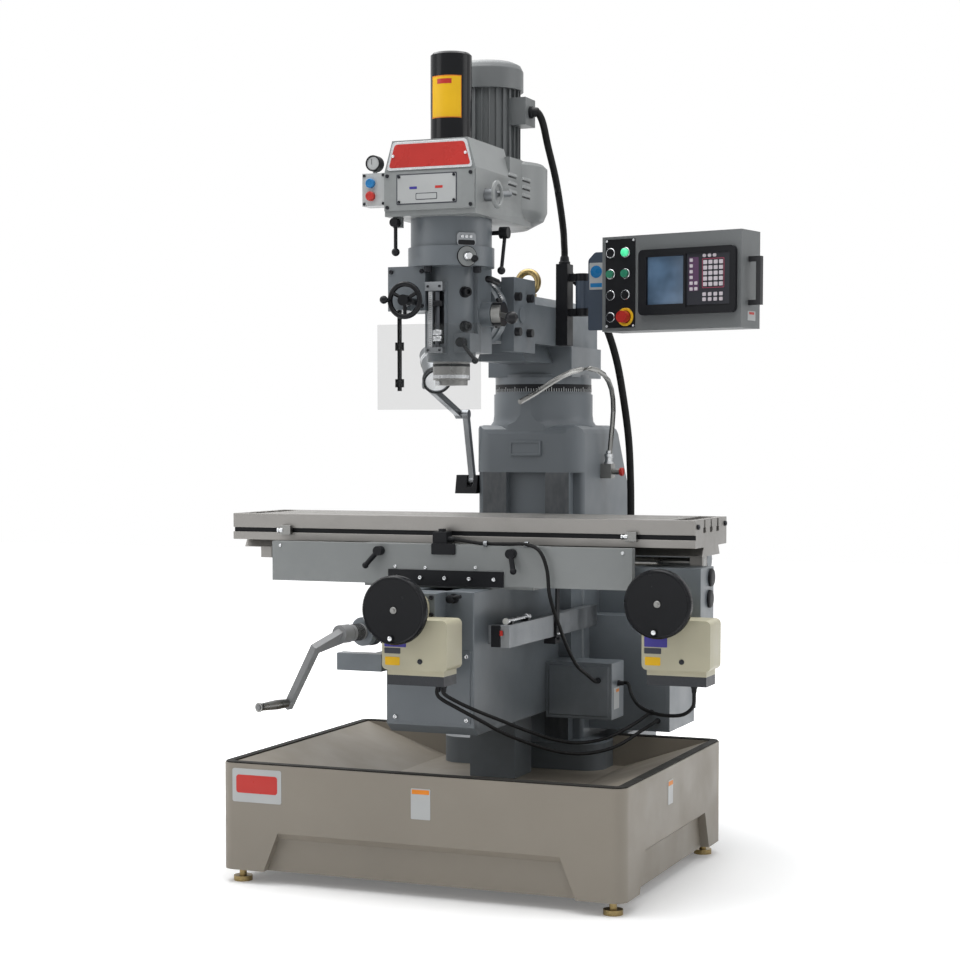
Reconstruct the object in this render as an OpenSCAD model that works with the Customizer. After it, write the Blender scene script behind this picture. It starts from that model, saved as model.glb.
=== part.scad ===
// Vertical turret knee milling machine, all sizes in millimetres.
// X runs to the operator's right, Y to the back, Z up. The origin is on the floor under the pan's centre.

/* [Base] */
// Width of the chip pan
pan_w = 1164; // [1100:2:1240]
// Depth of the chip pan
pan_d = 914; // [890:2:980]
// Height of the levelling feet
foot_h = 37; // [30:1:60]
// Height of the pan from its underside to its rim
pan_h = 294; // [270:2:330]
// Depth of the tray below the rim
tray_depth = 91; // [70:1:110]
// Width of the pan's rim
rim_w = 30; // [24:1:40]

/* [Column] */
// Distance of the column's way face behind the pan's centre
way_y = 359; // [350:1:375]
// Width of the column
column_w = 340; // [320:2:360]
// Height of the column from the tray floor to its shoulder
column_h = 1017; // [980:1:1080]
// Radius of the round neck under the turret
neck_r = 150; // [140:1:158]
// Height of the round neck
neck_h = 93; // [80:1:120]
// Length of the vertical ways
way_l = 876; // [860:1:900]
// Width of one vertical way
way_w = 75; // [60:1:80]
// Depth of the recess between the ways
way_recess = 25; // [15:1:35]

/* [Knee] */
// Width of the knee
knee_w = 256; // [240:2:270]
// Length of the knee in front of the column
knee_l = 714; // [690:1:740]
// Height of the knee
knee_h = 386; // [370:1:400]
// Height of the knee's top above the tray floor
knee_lift = 572; // [560:1:590]
// Radius of the elevating screw
lift_screw_r = 20; // [14:1:24]
// Radius of the cross screw
cross_screw_r = 14; // [10:1:18]

/* [Saddle and table] */
// Height of the saddle
saddle_h = 118; // [110:1:130]
// Length of the saddle's front skirt
skirt_l = 1062; // [1000:2:1090]
// Length of the table
table_l = 1372; // [1300:2:1440]
// Width of the table
table_w = 305; // [290:1:320]
// Thickness of the table
table_t = 74; // [68:1:84]
// Distance between T-slots
slot_pitch = 63.5; // [56:0.5:70]
// Width of a T-slot's neck
slot_w = 16; // [12:1:18]
// Radius of the table screw
table_screw_r = 13; // [9:1:15]

/* [Ram and turret] */
// Distance from the turret's axis to the spindle
reach = 715; // [690:1:740]
// Radius of the turret's graduated ring
ring_r = 146; // [138:1:150]
// Height of the turret's graduated ring
ring_h = 50; // [40:1:60]
// Width of the ram
ram_w = 190; // [180:1:200]
// Height of the ram above its dovetail
ram_h = 140; // [130:1:150]
// Length of the ram behind the turret's axis
ram_tail = 225; // [200:1:260]

/* [Head] */
// Half width of the belt housing
belt_r = 131; // [126:1:138]
// Height of the belt housing
belt_h = 177; // [165:1:190]
// Radius of the motor body
motor_r = 86; // [78:1:90]
// Height of the motor under its cowl
motor_h = 205; // [190:1:225]
// Radius of the drawbar cover
drawbar_r = 56; // [50:1:60]
// Height of the drawbar cover
drawbar_h = 246; // [225:1:270]
// Radius of the quill
quill_r = 50; // [42:1:54]
// Radius of the bored part of the head around the quill
barrel_r = 66; // [63:1:72]
// Radius of the spindle's tool socket
socket_r = 22.2; // [18:0.1:24]
// Depth of the spindle's tool socket
socket_l = 70; // [50:1:90]

/* [Controls] */
// Radius of the two feed handwheels
wheel_r = 90; // [80:1:95]
// Radius of the quill's fine feed wheel
feed_wheel_r = 50; // [44:1:54]
// Throw of the knee crank
crank_throw = 206; // [190:1:220]
// Width of the control console
console_w = 447; // [420:1:470]
// Height of the control console
console_h = 270; // [255:1:285]
// Depth of the control console
console_d = 112; // [100:1:120]

/* [Hidden] */
$fn = 48;

casting = "#8f979c";
paint = "#b4babd";
pan_paint = "#b3aa98";
black = "#222426";
steel = "#c4c6c8";
cream = "#e2dcc2";

// Clearance of sliding faces, of turning fits and of pieces that pass one another
slide_gap = 0.3;
turn_gap = 0.05;
// Overshoot of a cutting shape past the face it cuts
cut = 1;

// Heights, from the floor up
rim_z = foot_h + pan_h;
deck_z = rim_z - tray_depth;
shoulder_z = deck_z + column_h;
neck_top_z = shoulder_z + neck_h;
way_top_z = deck_z + way_l;
knee_z = deck_z + knee_lift;
knee_bottom_z = knee_z - knee_h;
saddle_z = knee_z + saddle_h;
table_z = saddle_z + table_t;
ring_top_z = neck_top_z + ring_h;
turret_block_h = 40;
turret_z = ring_top_z + turret_block_h;
dovetail_h = 50;
ram_z = turret_z + dovetail_h;
ram_top_z = ram_z + ram_h;
pivot_rise = 75;
pivot_z = ram_z + pivot_rise;
barrel_drop = 140;
barrel_z = pivot_z - barrel_drop;
gear_rise = 114;
gear_z = pivot_z + gear_rise;
belt_rise = 243;
belt_z = pivot_z + belt_rise;
belt_top_z = belt_z + belt_h;
nose_drop = 49;
nose_z = barrel_z - nose_drop;

// Depths, from the front to the back
knee_y = way_y - knee_l;
turret_set = 151;
turret_y = way_y + turret_set;
spindle_y = turret_y - reach;
head_set = 130;
head_face_y = spindle_y + head_set;
pivot_set = 268;
pivot_y = spindle_y + pivot_set;
motor_set = 259;
motor_y = spindle_y + motor_set;
belt_front = 145;
belt_front_y = spindle_y - belt_front;
table_set = 397;
table_y = way_y - table_set;
table_front_y = table_y - table_w / 2;
skirt_out = 208;
skirt_y = table_y - skirt_out;
column_d = 500;
column_back_y = way_y + column_d;

module block(x, y, z) {
    translate([x[0], y[0], z[0]])
        cube([x[1] - x[0], y[1] - y[0], z[1] - z[0]]);
}

module rod_x(r, x, y, z) {
    translate([x[0], y, z])
        rotate([0, 90, 0])
            cylinder(r = r, h = x[1] - x[0]);
}

module rod_y(r, x, y, z) {
    translate([x, y[1], z])
        rotate([90, 0, 0])
            cylinder(r = r, h = y[1] - y[0]);
}

module rod_z(r, x, y, z) {
    translate([x, y, z[0]])
        cylinder(r = r, h = z[1] - z[0]);
}

// Rounded rectangle about the origin
module round_rect(w, d, r) {
    square([w - 2 * r, d], center = true);
    square([w, d - 2 * r], center = true);
    for (x = [-1, 1], y = [-1, 1])
        translate([x * (w / 2 - r), y * (d / 2 - r)])
            circle(r);
}

// An outline in Y and Z, drawn out along X
module along_x(x, outline) {
    translate([x[0], 0, 0])
        rotate([90, 0, 90])
            linear_extrude(x[1] - x[0])
                polygon(outline);
}

// An outline in X and Z, drawn out along Y
module along_y(y, outline) {
    translate([0, y[1], 0])
        rotate([90, 0, 0])
            linear_extrude(y[1] - y[0])
                polygon(outline);
}

// A round bar between two points
module bar(a, b, r) {
    d = b - a;
    translate(a)
        rotate([0, acos(d[2] / norm(d)), atan2(d[1], d[0])])
            cylinder(r = r, h = norm(d));
}

// Base

leg_l = 130;
leg_slope = 45;
skirt_set = 24;
skirt_top_z = foot_h + 110;
skirt_slope = 20;
pan_r = 34;
tray_floor_x = 290;
rear_w = 600;
foot_inset = 44;
foot_pad_r = 26;
foot_stud_r = 10;
foot_pad_h = 14;
well_gap = 2;
well_h = 125;

// Plan of the foot of the column, used for its notch in the pan too
column_foot_w = 510;
column_foot_y = way_y - 59;
column_foot_h = 78;
column_foot_r = 60;

// Outline of a skirt recess between two legs, and its section into the skirt
function recess_span(l) = [[-l / 2 + leg_l, foot_h - cut], [l / 2 - leg_l, foot_h - cut],
    [l / 2 - leg_l - leg_slope, skirt_top_z], [-l / 2 + leg_l + leg_slope, skirt_top_z]];
function recess_section(face) = [[face - cut, foot_h - cut], [face + skirt_set, foot_h - cut],
    [face + skirt_set, skirt_top_z - skirt_slope], [face - cut, skirt_top_z]];

module pan_skirt_recess_x() {
    intersection() {
        along_x([-pan_w / 2, pan_w / 2], recess_section(-pan_d / 2));
        along_y([-pan_d / 2 - cut, 0], recess_span(pan_w));
    }
}

module pan_skirt_recess_y() {
    intersection() {
        along_y([-pan_d / 2, pan_d / 2], recess_section(-pan_w / 2));
        along_x([-pan_w / 2 - cut, 0], recess_span(pan_d));
    }
}

module base_pan() {
    color(pan_paint)
        difference() {
            union() {
                translate([0, 0, foot_h])
                    linear_extrude(pan_h)
                        round_rect(pan_w, pan_d, pan_r);
                block([-rear_w / 2, rear_w / 2], [pan_d / 2 - pan_r, column_back_y + 20], [foot_h, deck_z]);
            }
            // The tray, with floor sides that slope down to the middle
            along_y([-pan_d / 2 + rim_w, pan_d / 2 - rim_w],
                [[-pan_w / 2 + rim_w, rim_z + cut], [-pan_w / 2 + rim_w, rim_z],
                 [-tray_floor_x, deck_z], [tray_floor_x, deck_z],
                 [pan_w / 2 - rim_w, rim_z], [pan_w / 2 - rim_w, rim_z + cut]]);
            // The gap in the back wall that the column stands in
            block([-column_foot_w / 2, column_foot_w / 2], [pan_d / 2 - rim_w - cut, pan_d / 2 + cut],
                [deck_z, rim_z + cut]);
            // Well that the elevating screw runs down into
            rod_z(lift_screw_r + well_gap, 0, lift_screw_y, [deck_z - well_h, deck_z + cut]);
            pan_skirt_recess_x();
            pan_skirt_recess_y();
            mirror([1, 0, 0])
                pan_skirt_recess_y();
        }
}

module levelling_feet() {
    color("#a98f5a")
        for (side = [-1, 1]) {
            for (y = [-pan_d / 2 + foot_inset, pan_d / 2 - foot_inset])
                levelling_foot(side * (pan_w / 2 - foot_inset), y);
            levelling_foot(side * (rear_w / 2 - foot_inset), column_back_y - foot_inset);
        }
}

module levelling_foot(x, y) {
    rod_z(foot_pad_r, x, y, [0, foot_pad_h]);
    rod_z(foot_stud_r, x, y, [foot_pad_h, foot_h]);
}

// Column

way_out_x = 137;
way_in_x = way_out_x - way_w;
way_set = 40;
body_r = 14;
upper_r = 55;
shoulder_r = 26;
panel_w = 100;
panel_h = 45;
panel_t = 4;
panel_z = shoulder_z - 92;
fillet_h = 22;
neck_set = 2;
flare = 10;
back_top = 346;
back_top_y = way_y + back_top;
back_rise = 760;
back_low_z = deck_z + back_rise;
round_z = shoulder_z - shoulder_r;
shoulder_step = 30;

// Edge of the shoulder in three straight steps, from its side at w inwards
function shoulder_edge(w) = [[w + cut, back_low_z],
    [w + cut, round_z - cut * sin(shoulder_step) / (1 - cos(shoulder_step))],
    for (i = [1:3]) [w - shoulder_r * (1 - cos(i * shoulder_step)),
        round_z + shoulder_r * sin(i * shoulder_step)]];
function flipped(edge) = [for (i = [len(edge) - 1:-1:0]) [-edge[i][0], edge[i][1]]];

module column_body() {
    // Lower body, behind the ways, with a back that leans in towards the turret
    intersection() {
        translate([0, (way_y + way_set + column_back_y) / 2, deck_z])
            linear_extrude(way_top_z - deck_z)
                round_rect(column_w, column_back_y - way_y - way_set, body_r);
        along_x([-column_w, column_w],
            [[way_y, deck_z - cut], [column_back_y + cut, deck_z - cut], [column_back_y + cut, back_low_z],
             [back_top_y, shoulder_z], [way_y, shoulder_z]]);
    }
    // The two box ways and the recessed face between them
    for (side = [-1, 1])
        block(side > 0 ? [way_in_x, way_out_x] : [-way_out_x, -way_in_x],
            [way_y, way_y + way_set], [deck_z + column_foot_h, way_top_z]);
    block([-way_in_x, way_in_x], [way_y + way_recess, way_y + way_set],
        [deck_z + column_foot_h, way_top_z]);
    // Upper body with round corners and a round shoulder
    intersection() {
        translate([0, (way_y + column_back_y) / 2, way_top_z])
            linear_extrude(shoulder_z - way_top_z)
                round_rect(column_w, column_back_y - way_y, upper_r);
        along_y([way_y - cut, column_back_y],
            concat(shoulder_edge(column_w / 2), flipped(shoulder_edge(column_w / 2))));
        along_x([-column_w, column_w],
            concat(flipped(shoulder_edge(-way_y)),
                [[column_back_y + cut, back_low_z], [back_top_y, shoulder_z]]));
    }
}

module column() {
    color(casting) {
        column_body();
        // Foot, with round front corners, set in the tray
        translate([0, 0, deck_z])
            linear_extrude(column_foot_h) {
                translate([-column_foot_w / 2, column_foot_y + column_foot_r])
                    square([column_foot_w, column_back_y - column_foot_y - column_foot_r]);
                translate([-column_foot_w / 2 + column_foot_r, column_foot_y])
                    square([column_foot_w - 2 * column_foot_r, column_foot_r * 2]);
                for (x = [-1, 1])
                    translate([x * (column_foot_w / 2 - column_foot_r), column_foot_y + column_foot_r])
                        circle(column_foot_r);
            }
        // Flared neck under the turret, no wider than the body
        intersection() {
            translate([0, turret_y, shoulder_z])
                rotate_extrude()
                    polygon([[0, -shoulder_r], [neck_r + flare, -shoulder_r], [neck_r + flare, 0],
                        [neck_r + flare / 4, fillet_h / 2], [neck_r, fillet_h * 1.4], [neck_r, neck_h],
                        [0, neck_h]]);
            block([-column_w / 2 + neck_set, column_w / 2 - neck_set], [way_y + neck_set, column_back_y],
                [round_z - 2 * cut, neck_top_z + cut]);
        }
        // Raised bare panel on the front
        block([-panel_w / 2, panel_w / 2], [way_y - panel_t, way_y + cut], [panel_z, panel_z + panel_h]);
    }
}

pedestal_w = 140;
pedestal_d = 132;
pedestal_h = 350;
lift_screw_y = way_y - 199;

module screw_pedestal() {
    color(casting)
        difference() {
            block([-pedestal_w / 2, pedestal_w / 2],
                [lift_screw_y - pedestal_d / 2, lift_screw_y + pedestal_d / 2],
                [deck_z, deck_z + pedestal_h]);
            rod_z(lift_screw_r + turn_gap, 0, lift_screw_y, [deck_z - cut, deck_z + pedestal_h + cut]);
        }
}

// Electrical cabinet on the column's right

cabinet_x = [column_w / 2, column_w / 2 + 238];
cabinet_y = [way_y + 96, way_y + 361];
cabinet_z = [rim_z + 14, rim_z + 357];
outlet_x = [column_w / 2, column_w / 2 + 310];
outlet_y = [way_y + 186, way_y + 331];
outlet_h = 230;
sheet_t = 3;
door_t = 14;
door_gap = 2;
hinge_r = 5;
socket_plate = 54;

module electrical_cabinet() {
    color(casting) {
        difference() {
            block(cabinet_x, cabinet_y, cabinet_z);
            block([cabinet_x[0] + sheet_t, cabinet_x[1] + cut],
                [cabinet_y[0] + sheet_t, cabinet_y[1] - sheet_t],
                [cabinet_z[0] + sheet_t, cabinet_z[1] - sheet_t]);
        }
        // Transformer and contactors on the back wall
        block([cabinet_x[0] + sheet_t, cabinet_x[0] + 90], [cabinet_y[0] + 30, cabinet_y[0] + 120],
            [cabinet_z[0] + 30, cabinet_z[0] + 130]);
        for (i = [0:3])
            block([cabinet_x[0] + sheet_t, cabinet_x[0] + 70],
                [cabinet_y[0] + 30 + i * 52, cabinet_y[0] + 74 + i * 52],
                    [cabinet_z[0] + 190, cabinet_z[0] + 270]);
        // Outlet box on top, with two round outlets on its right face
        block(outlet_x, outlet_y, [cabinet_z[1], cabinet_z[1] + outlet_h]);
        for (z = [0.3, 0.7])
            rod_x(socket_plate / 2, [outlet_x[1] - cut, outlet_x[1] + 16], (outlet_y[0] + outlet_y[1]) / 2,
                cabinet_z[1] + outlet_h * z);
    }
}

module cabinet_door() {
    color(casting) {
        block([cabinet_x[1] + slide_gap, cabinet_x[1] + door_t], [cabinet_y[0], cabinet_y[1] - hinge_r],
            [cabinet_z[0], cabinet_z[1] - door_gap]);
        rod_z(hinge_r, cabinet_x[1] + door_t, cabinet_y[1] - hinge_r,
            [cabinet_z[0] + 40, cabinet_z[1] - 40]);
    }
    color(black)
        rod_x(14, [cabinet_x[1] + door_t, cabinet_x[1] + door_t + 8], cabinet_y[0] + 30,
            (cabinet_z[0] + cabinet_z[1]) / 2);
}

// Work lamp on the column's left

lamp_x = [-column_w / 2 - 34, -column_w / 2 - 14];
lamp_tube_x = [-column_w / 2 - 56, -column_w / 2 - 36];
lamp_foot = [way_y + 56, shoulder_z - 167];
lamp_elbow = [way_y + 4, shoulder_z + 33];
lamp_joint = [way_y - 239, shoulder_z + 117];
lamp_pin_r = 6;
lamp_tube_w = 20;
lamp_inset = 2;
lamp_eye_r = 14;
lamp_l = 160;
lamp_r = 34;
lamp_ring_r = 41;
lamp_off = 50;

module lamp_base() {
    color(black)
        difference() {
            along_x([-column_w / 2 - 70, -column_w / 2],
                [[lamp_foot[0] - 30, lamp_foot[1] - 40], [lamp_foot[0] + 30, lamp_foot[1] - 40],
                 [lamp_foot[0] + 18, lamp_foot[1] + 16], [lamp_foot[0] - 18, lamp_foot[1] + 16]]);
            block([lamp_x[0] - slide_gap, lamp_x[1] + slide_gap],
                [lamp_foot[0] - 31, lamp_foot[0] + 31], [lamp_foot[1] - 20, lamp_foot[1] + 17]);
            rod_x(lamp_pin_r + turn_gap, [-column_w / 2 - 71, -column_w / 2 - 2], lamp_foot[0],
                lamp_foot[1]);
        }
}

// A flat lamp arm between two pivots, in Y and Z
module lamp_arm(x, a, b) {
    d = b - a;
    for (p = [a, b])
        rod_x(lamp_eye_r, x, p[0], p[1]);
    translate([x[0], a[0], a[1]])
        rotate([atan2(d[1], d[0]), 0, 0])
            translate([lamp_inset, 0, -lamp_tube_w / 2])
                cube([x[1] - x[0] - 2 * lamp_inset, norm(d), lamp_tube_w]);
}

module lamp_lower_arm() {
    color("#9aa0a4") {
        lamp_arm(lamp_x, lamp_foot, lamp_elbow);
        rod_x(lamp_pin_r, [lamp_x[0] - 20, lamp_x[1] + 11], lamp_foot[0], lamp_foot[1]);
        rod_x(lamp_pin_r, [lamp_tube_x[0] - 6, lamp_x[0] + 1], lamp_elbow[0], lamp_elbow[1]);
    }
}

module lamp_upper_arm() {
    color("#9aa0a4") {
        difference() {
            lamp_arm(lamp_tube_x, lamp_elbow, lamp_joint);
            rod_x(lamp_pin_r + turn_gap, [lamp_tube_x[0] - cut, lamp_tube_x[1] + cut], lamp_elbow[0],
                lamp_elbow[1]);
        }
        rod_x(lamp_pin_r, [lamp_tube_x[1] - cut, lamp_x[1] - 4], lamp_joint[0], lamp_joint[1]);
    }
}

module lamp_head() {
    color(steel) {
        difference() {
            union() {
                rod_x(lamp_eye_r, lamp_x, lamp_joint[0], lamp_joint[1]);
                block(lamp_x, [lamp_joint[0] - 12, lamp_joint[0] + 12],
                    [lamp_joint[1], lamp_joint[1] + lamp_off]);
            }
            rod_x(lamp_pin_r + turn_gap, [lamp_x[0] - cut, lamp_x[1] + cut], lamp_joint[0], lamp_joint[1]);
        }
        // Lamp body, aimed forward and down, with a finned collar and a wide lens ring
        translate([(lamp_x[0] + lamp_x[1]) / 2, lamp_joint[0], lamp_joint[1] + lamp_off])
            rotate([0, 123, -58])
                translate([0, 0, -lamp_l / 2]) {
                    rotate_extrude()
                        polygon([[0, 0], [lamp_r - 10, 0], [lamp_r, 12], [lamp_r, lamp_l - 24],
                            [lamp_ring_r, lamp_l - 18], [lamp_ring_r, lamp_l], [lamp_ring_r - 6, lamp_l],
                            [lamp_ring_r - 8, lamp_l - 6], [0, lamp_l - 6]]);
                }
    }
}

// Cords

// Points along a smooth curve through the route, with steps points for each stretch
function stretch_at(p, i, t) = let (a = p[max(i - 1, 0)], b = p[i], c = p[i + 1],
    d = p[min(i + 2, len(p) - 1)])
    b + t * (c - a) / 2 + t * t * (2 * a - 5 * b + 4 * c - d) / 2 + t * t * t * (3 * b - a - 3 * c + d) / 2;
function smooth_route(p, steps) =
    [for (i = [0:len(p) - 2]) for (j = [0:steps - 1]) stretch_at(p, i, j / steps), p[len(p) - 1]];
function unit(v) = v / norm(v);

// A tube of 8 sides along a route
module tube(route, r, steps = 2) {
    q = smooth_route(route, steps);
    n = len(q);
    sides = 8;
    ring = [for (i = [0:n - 1])
        let (t = i == 0 ? unit(route[1] - route[0])
                 : i == n - 1 ? unit(route[len(route) - 1] - route[len(route) - 2])
                 : unit(q[i + 1] - q[i - 1]),
             u = unit(cross(t, abs(t[1]) < 0.9 ? [0, 1, 0] : [1, 0, 0])),
             v = cross(t, u))
            for (k = [0:sides - 1])
                q[i] + r * (cos(k * 360 / sides) * u + sin(k * 360 / sides) * v)];
    walls = [for (i = [0:n - 2]) for (k = [0:sides - 1])
        for (f = [[0, 1, 2], [0, 2, 3]])
            let (corner = [i * sides + k, i * sides + (k + 1) % sides,
                    (i + 1) * sides + (k + 1) % sides, (i + 1) * sides + k])
                [corner[f[2]], corner[f[1]], corner[f[0]]]];
    first = [for (k = [0:sides - 1]) k];
    last = [for (k = [sides - 1:-1:0]) (n - 1) * sides + k];
    polyhedron(points = ring, faces = concat([first], walls, [last]));
}

hose_r = 8;
hose_route = [[190, 570, 1140], [196, 574, 1220], [204, 570, 1300], [208, 540, 1366], [204, 480, 1408],
    [184, 410, 1424], [150, 340, 1412], [118, 270, 1382], [88, 205, 1348], [62, 150, 1322]];
valve_y = [550, 590];
valve_z = [1096, 1140];

module coolant_hose() {
    color(steel)
        tube(hose_route, hose_r);
    color(steel) {
        block([column_w / 2, 204], valve_y, valve_z);
        rod_x(9, [204, 226], (valve_y[0] + valve_y[1]) / 2, valve_z[0] + 20);
    }
}

// Knee

cavity_wall = 28;
cavity_top_z = knee_z - 92;
channel_w = 90;
channel_z = knee_z - 67;
screw_axis_z = knee_z - 34;
flange_w = 334;
flange_l = 59;
keeper_l = 34;

module knee() {
    color(casting)
        difference() {
            union() {
                // The knee's underside rises towards the operator
                along_x([-knee_w / 2, knee_w / 2],
                    [[knee_y, knee_bottom_z + 24], [knee_y + 30, knee_bottom_z],
                        [way_y - flange_l + cut, knee_bottom_z],
                     [way_y - flange_l + cut, knee_z], [knee_y, knee_z]]);
                // Wide flange that bears on the ways, and keepers at their outer sides
                block([-flange_w / 2, flange_w / 2], [way_y - flange_l, way_y], [knee_bottom_z, knee_z]);
                for (side = [-1, 1])
                    block(side > 0 ? [way_out_x + slide_gap, flange_w / 2] : [-flange_w / 2,
                        -way_out_x - slide_gap],
                        [way_y - cut, way_y + keeper_l], [knee_bottom_z, knee_z]);
            }
            // Hollow for the pedestal and screw, open below
            block([-knee_w / 2 + cavity_wall, knee_w / 2 - cavity_wall], [knee_y + 55, way_y - 29],
                [knee_bottom_z - cut, cavity_top_z]);
            // Channel for the cross screw, open above
            block([-channel_w / 2, channel_w / 2], [knee_y + 25, way_y - 60], [channel_z, knee_z + cut]);
            rod_y(cross_screw_r + turn_gap, 0, [knee_y - cut, knee_y + 26], screw_axis_z);
            rod_z(lift_screw_r * 0.6 + turn_gap, 0, lift_screw_y, [cavity_top_z - cut, channel_z + cut]);
        }
}

module elevating_screw() {
    color(steel) {
        rod_z(lift_screw_r, 0, lift_screw_y, [deck_z + 10, cavity_top_z - slide_gap]);
        rod_z(lift_screw_r * 0.6, 0, lift_screw_y, [cavity_top_z - cut, channel_z]);
    }
}

bracket_w = 96;
bracket_h = 66;
bracket_l = 75;
feed_w = 184;
feed_h = 132;
feed_l = 100;
feed_lip_h = 40;
feed_off = 33;
y_feed_drop = 28;
x_feed_drop = 44;
feed_corner = 14;
feed_hub_r = 33;

module y_bearing_bracket() {
    color(casting)
        difference() {
            block([-bracket_w / 2, bracket_w / 2], [knee_y - bracket_l, knee_y],
                [screw_axis_z - bracket_h / 2, screw_axis_z + bracket_h / 2]);
            rod_y(cross_screw_r + turn_gap, 0, [knee_y - bracket_l - cut, knee_y + cut], screw_axis_z);
        }
}

// Power feed unit: a rounded box on the screw, with its switch lip below and its shaft bore
module feed_unit(x, y, z, shaft_r, feed_drop) {
    color(cream)
        difference() {
            union() {
                translate([x + feed_off, y, z - feed_h / 2 - feed_drop])
                    rotate([90, 0, 0])
                        linear_extrude(feed_l)
                            round_rect(feed_w, feed_h, feed_corner);
                rod_y(feed_hub_r, x, [y - feed_l, y], z);
                block([x - feed_hub_r, x + feed_hub_r], [y - feed_l, y], [z - feed_drop - cut, z]);
            }
            rod_y(shaft_r + turn_gap, x, [y - feed_l - cut, y + cut], z);
        }
    color("#4a4c4e")
        block([x + feed_off - feed_w / 2 + 12, x + feed_off + feed_w / 2 - 12], [y - feed_l + 8, y - 8],
            [z - feed_h - feed_drop - feed_lip_h, z - feed_h - feed_drop]);
}

module y_feed_unit() {
    feed_unit(0, knee_y - bracket_l, screw_axis_z, cross_screw_r, y_feed_drop);
}

// Handwheel with a dished web, a round rim and a folded grip, its hub running back along the shaft
wheel_rim = 9;
wheel_web = 10;
dial_r = 36;
dial_l = 22;
grip_turn = -96;

module handwheel(x, y, z) {
    translate([x, y, z])
        rotate([90, 0, 0]) {
            color(black) {
                rotate_extrude()
                    polygon([[0, 0], [dial_r - 6, 0], [dial_r - 6, 12], [wheel_r - wheel_rim, 22],
                        [wheel_r - wheel_rim / 2, 14], [wheel_r, 18], [wheel_r, 32],
                            [wheel_r - wheel_rim / 2, 38],
                        [wheel_r - wheel_rim, 36], [wheel_r - wheel_rim * 2, 30], [dial_r, 12 + wheel_web],
                        [dial_r - 10, 34], [0, 34]]);
                rotate(grip_turn)
                    translate([wheel_r - 17, 0, 26])
                        cylinder(r = 9, h = 15);
            }
        }
}

wheel_y_back = knee_y - bracket_l - feed_l - dial_l;

module y_handwheel() {
    handwheel(0, wheel_y_back, screw_axis_z);
    color(steel) {
        rod_y(dial_r, 0, [wheel_y_back, wheel_y_back + dial_l - slide_gap], screw_axis_z);
        rod_y(cross_screw_r, 0, [wheel_y_back, way_y - 100], screw_axis_z);
    }
}

// Knee crank, on an axis that leans out to the left
crank_base = [-100, knee_y, knee_z - 102];
crank_lean = 30;
crank_turn = -14.5;
crank_shaft_r = 11;
crank_barrel_r = 26;
crank_barrel_l = 120;
crank_hub = [196, 232];
crank_dogleg = 80;
grip_l = 120;
grip_r = 13;

// Places children on the crank's axis, with +Y along it into the knee
module on_crank_axis() {
    translate(crank_base)
        rotate([0, 0, crank_turn])
            children();
}

module crank_bracket() {
    color(casting)
        difference() {
            union() {
                on_crank_axis()
                    rod_y(crank_barrel_r, 0, [-crank_barrel_l, 30], 0);
                block([crank_base[0] - 26, crank_base[0] + 40], [knee_y - 40, knee_y],
                    [crank_base[2] - 40, crank_base[2] + 40]);
            }
            on_crank_axis()
                rod_y(crank_shaft_r + turn_gap, 0, [-crank_barrel_l - cut, -30], 0);
            block([-knee_w, knee_w], [knee_y, knee_y + 60], [0, knee_z]);
        }
    color(steel)
        on_crank_axis()
            difference() {
                rod_y(38, 0, [-crank_barrel_l - 20, -crank_barrel_l], 0);
                rod_y(crank_shaft_r + turn_gap, 0, [-crank_barrel_l - 21, -crank_barrel_l + cut], 0);
            }
    // Rest bar for the crank, on a leg from the knee's front
    color(casting) {
        block([crank_base[0] - 18, crank_base[0] + 18], [knee_y - 130, knee_y],
            [crank_base[2] - 105, crank_base[2] - 59]);
        block([crank_base[0] - 112, crank_base[0] - 17], [knee_y - 130, knee_y - 90],
            [crank_base[2] - 105, crank_base[2] - 59]);
    }
}

module knee_crank() {
    on_crank_axis()
        rotate([0, crank_lean, 0])
            color(casting) {
                rod_y(crank_shaft_r, 0, [-crank_hub[1], -40], 0);
                rod_y(22, 0, [-crank_hub[0] + 4, -crank_barrel_l - 24], 0);
                rod_y(24, 0, [-crank_hub[1], -crank_hub[0]], 0);
                along_x([-9, 9],
                    [[-crank_hub[0], 6], [-crank_hub[1], 12], [-crank_hub[1] - crank_dogleg - 4, -30],
                     [-crank_hub[1] - crank_dogleg - 8, -crank_throw - 16],
                         [-crank_hub[1] - crank_dogleg + 12, -crank_throw - 16],
                     [-crank_hub[1] - crank_dogleg + 18, -46], [-crank_hub[0], -20]]);
                rod_y(7, 0, [-crank_hub[1] - crank_dogleg - grip_l, -crank_hub[1] - crank_dogleg],
                    -crank_throw);
            }
}

module crank_grip() {
    on_crank_axis()
        rotate([0, crank_lean, 0])
            color(casting)
                translate([0, -crank_hub[1] - crank_dogleg - 9, -crank_throw])
                    rotate([90, 0, 0])
                        rotate_extrude()
                            polygon([[7 + turn_gap, 0], [grip_r - 2, 0], [grip_r, grip_l * 0.3],
                                [grip_r - 3, grip_l * 0.8], [grip_r, grip_l - 12],
                                    [7 + turn_gap, grip_l - 12]]);
}

scale_x = [knee_w / 2 + 50, knee_w / 2 + 78];
scale_y = [knee_y + 60, way_y + 60];
scale_z = [knee_z - 152, knee_z - 90];
bracket_t = 12;

module y_scale() {
    color("#c9ccce")
        block(scale_x, scale_y, scale_z);
    color(black)
        for (y = [scale_y[0] + 40, way_y - flange_l - 60])
            block([knee_w / 2, scale_x[0]], [y, y + bracket_t * 3], [scale_z[0] + 6, scale_z[1] - 6]);
}

jbox_x = [knee_w / 2, knee_w / 2 + 202];
jbox_y = [way_y - 169, way_y - flange_l - 1];
jbox_z = [knee_bottom_z - 16, knee_bottom_z + 148];
lid_t = 3;

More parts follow.
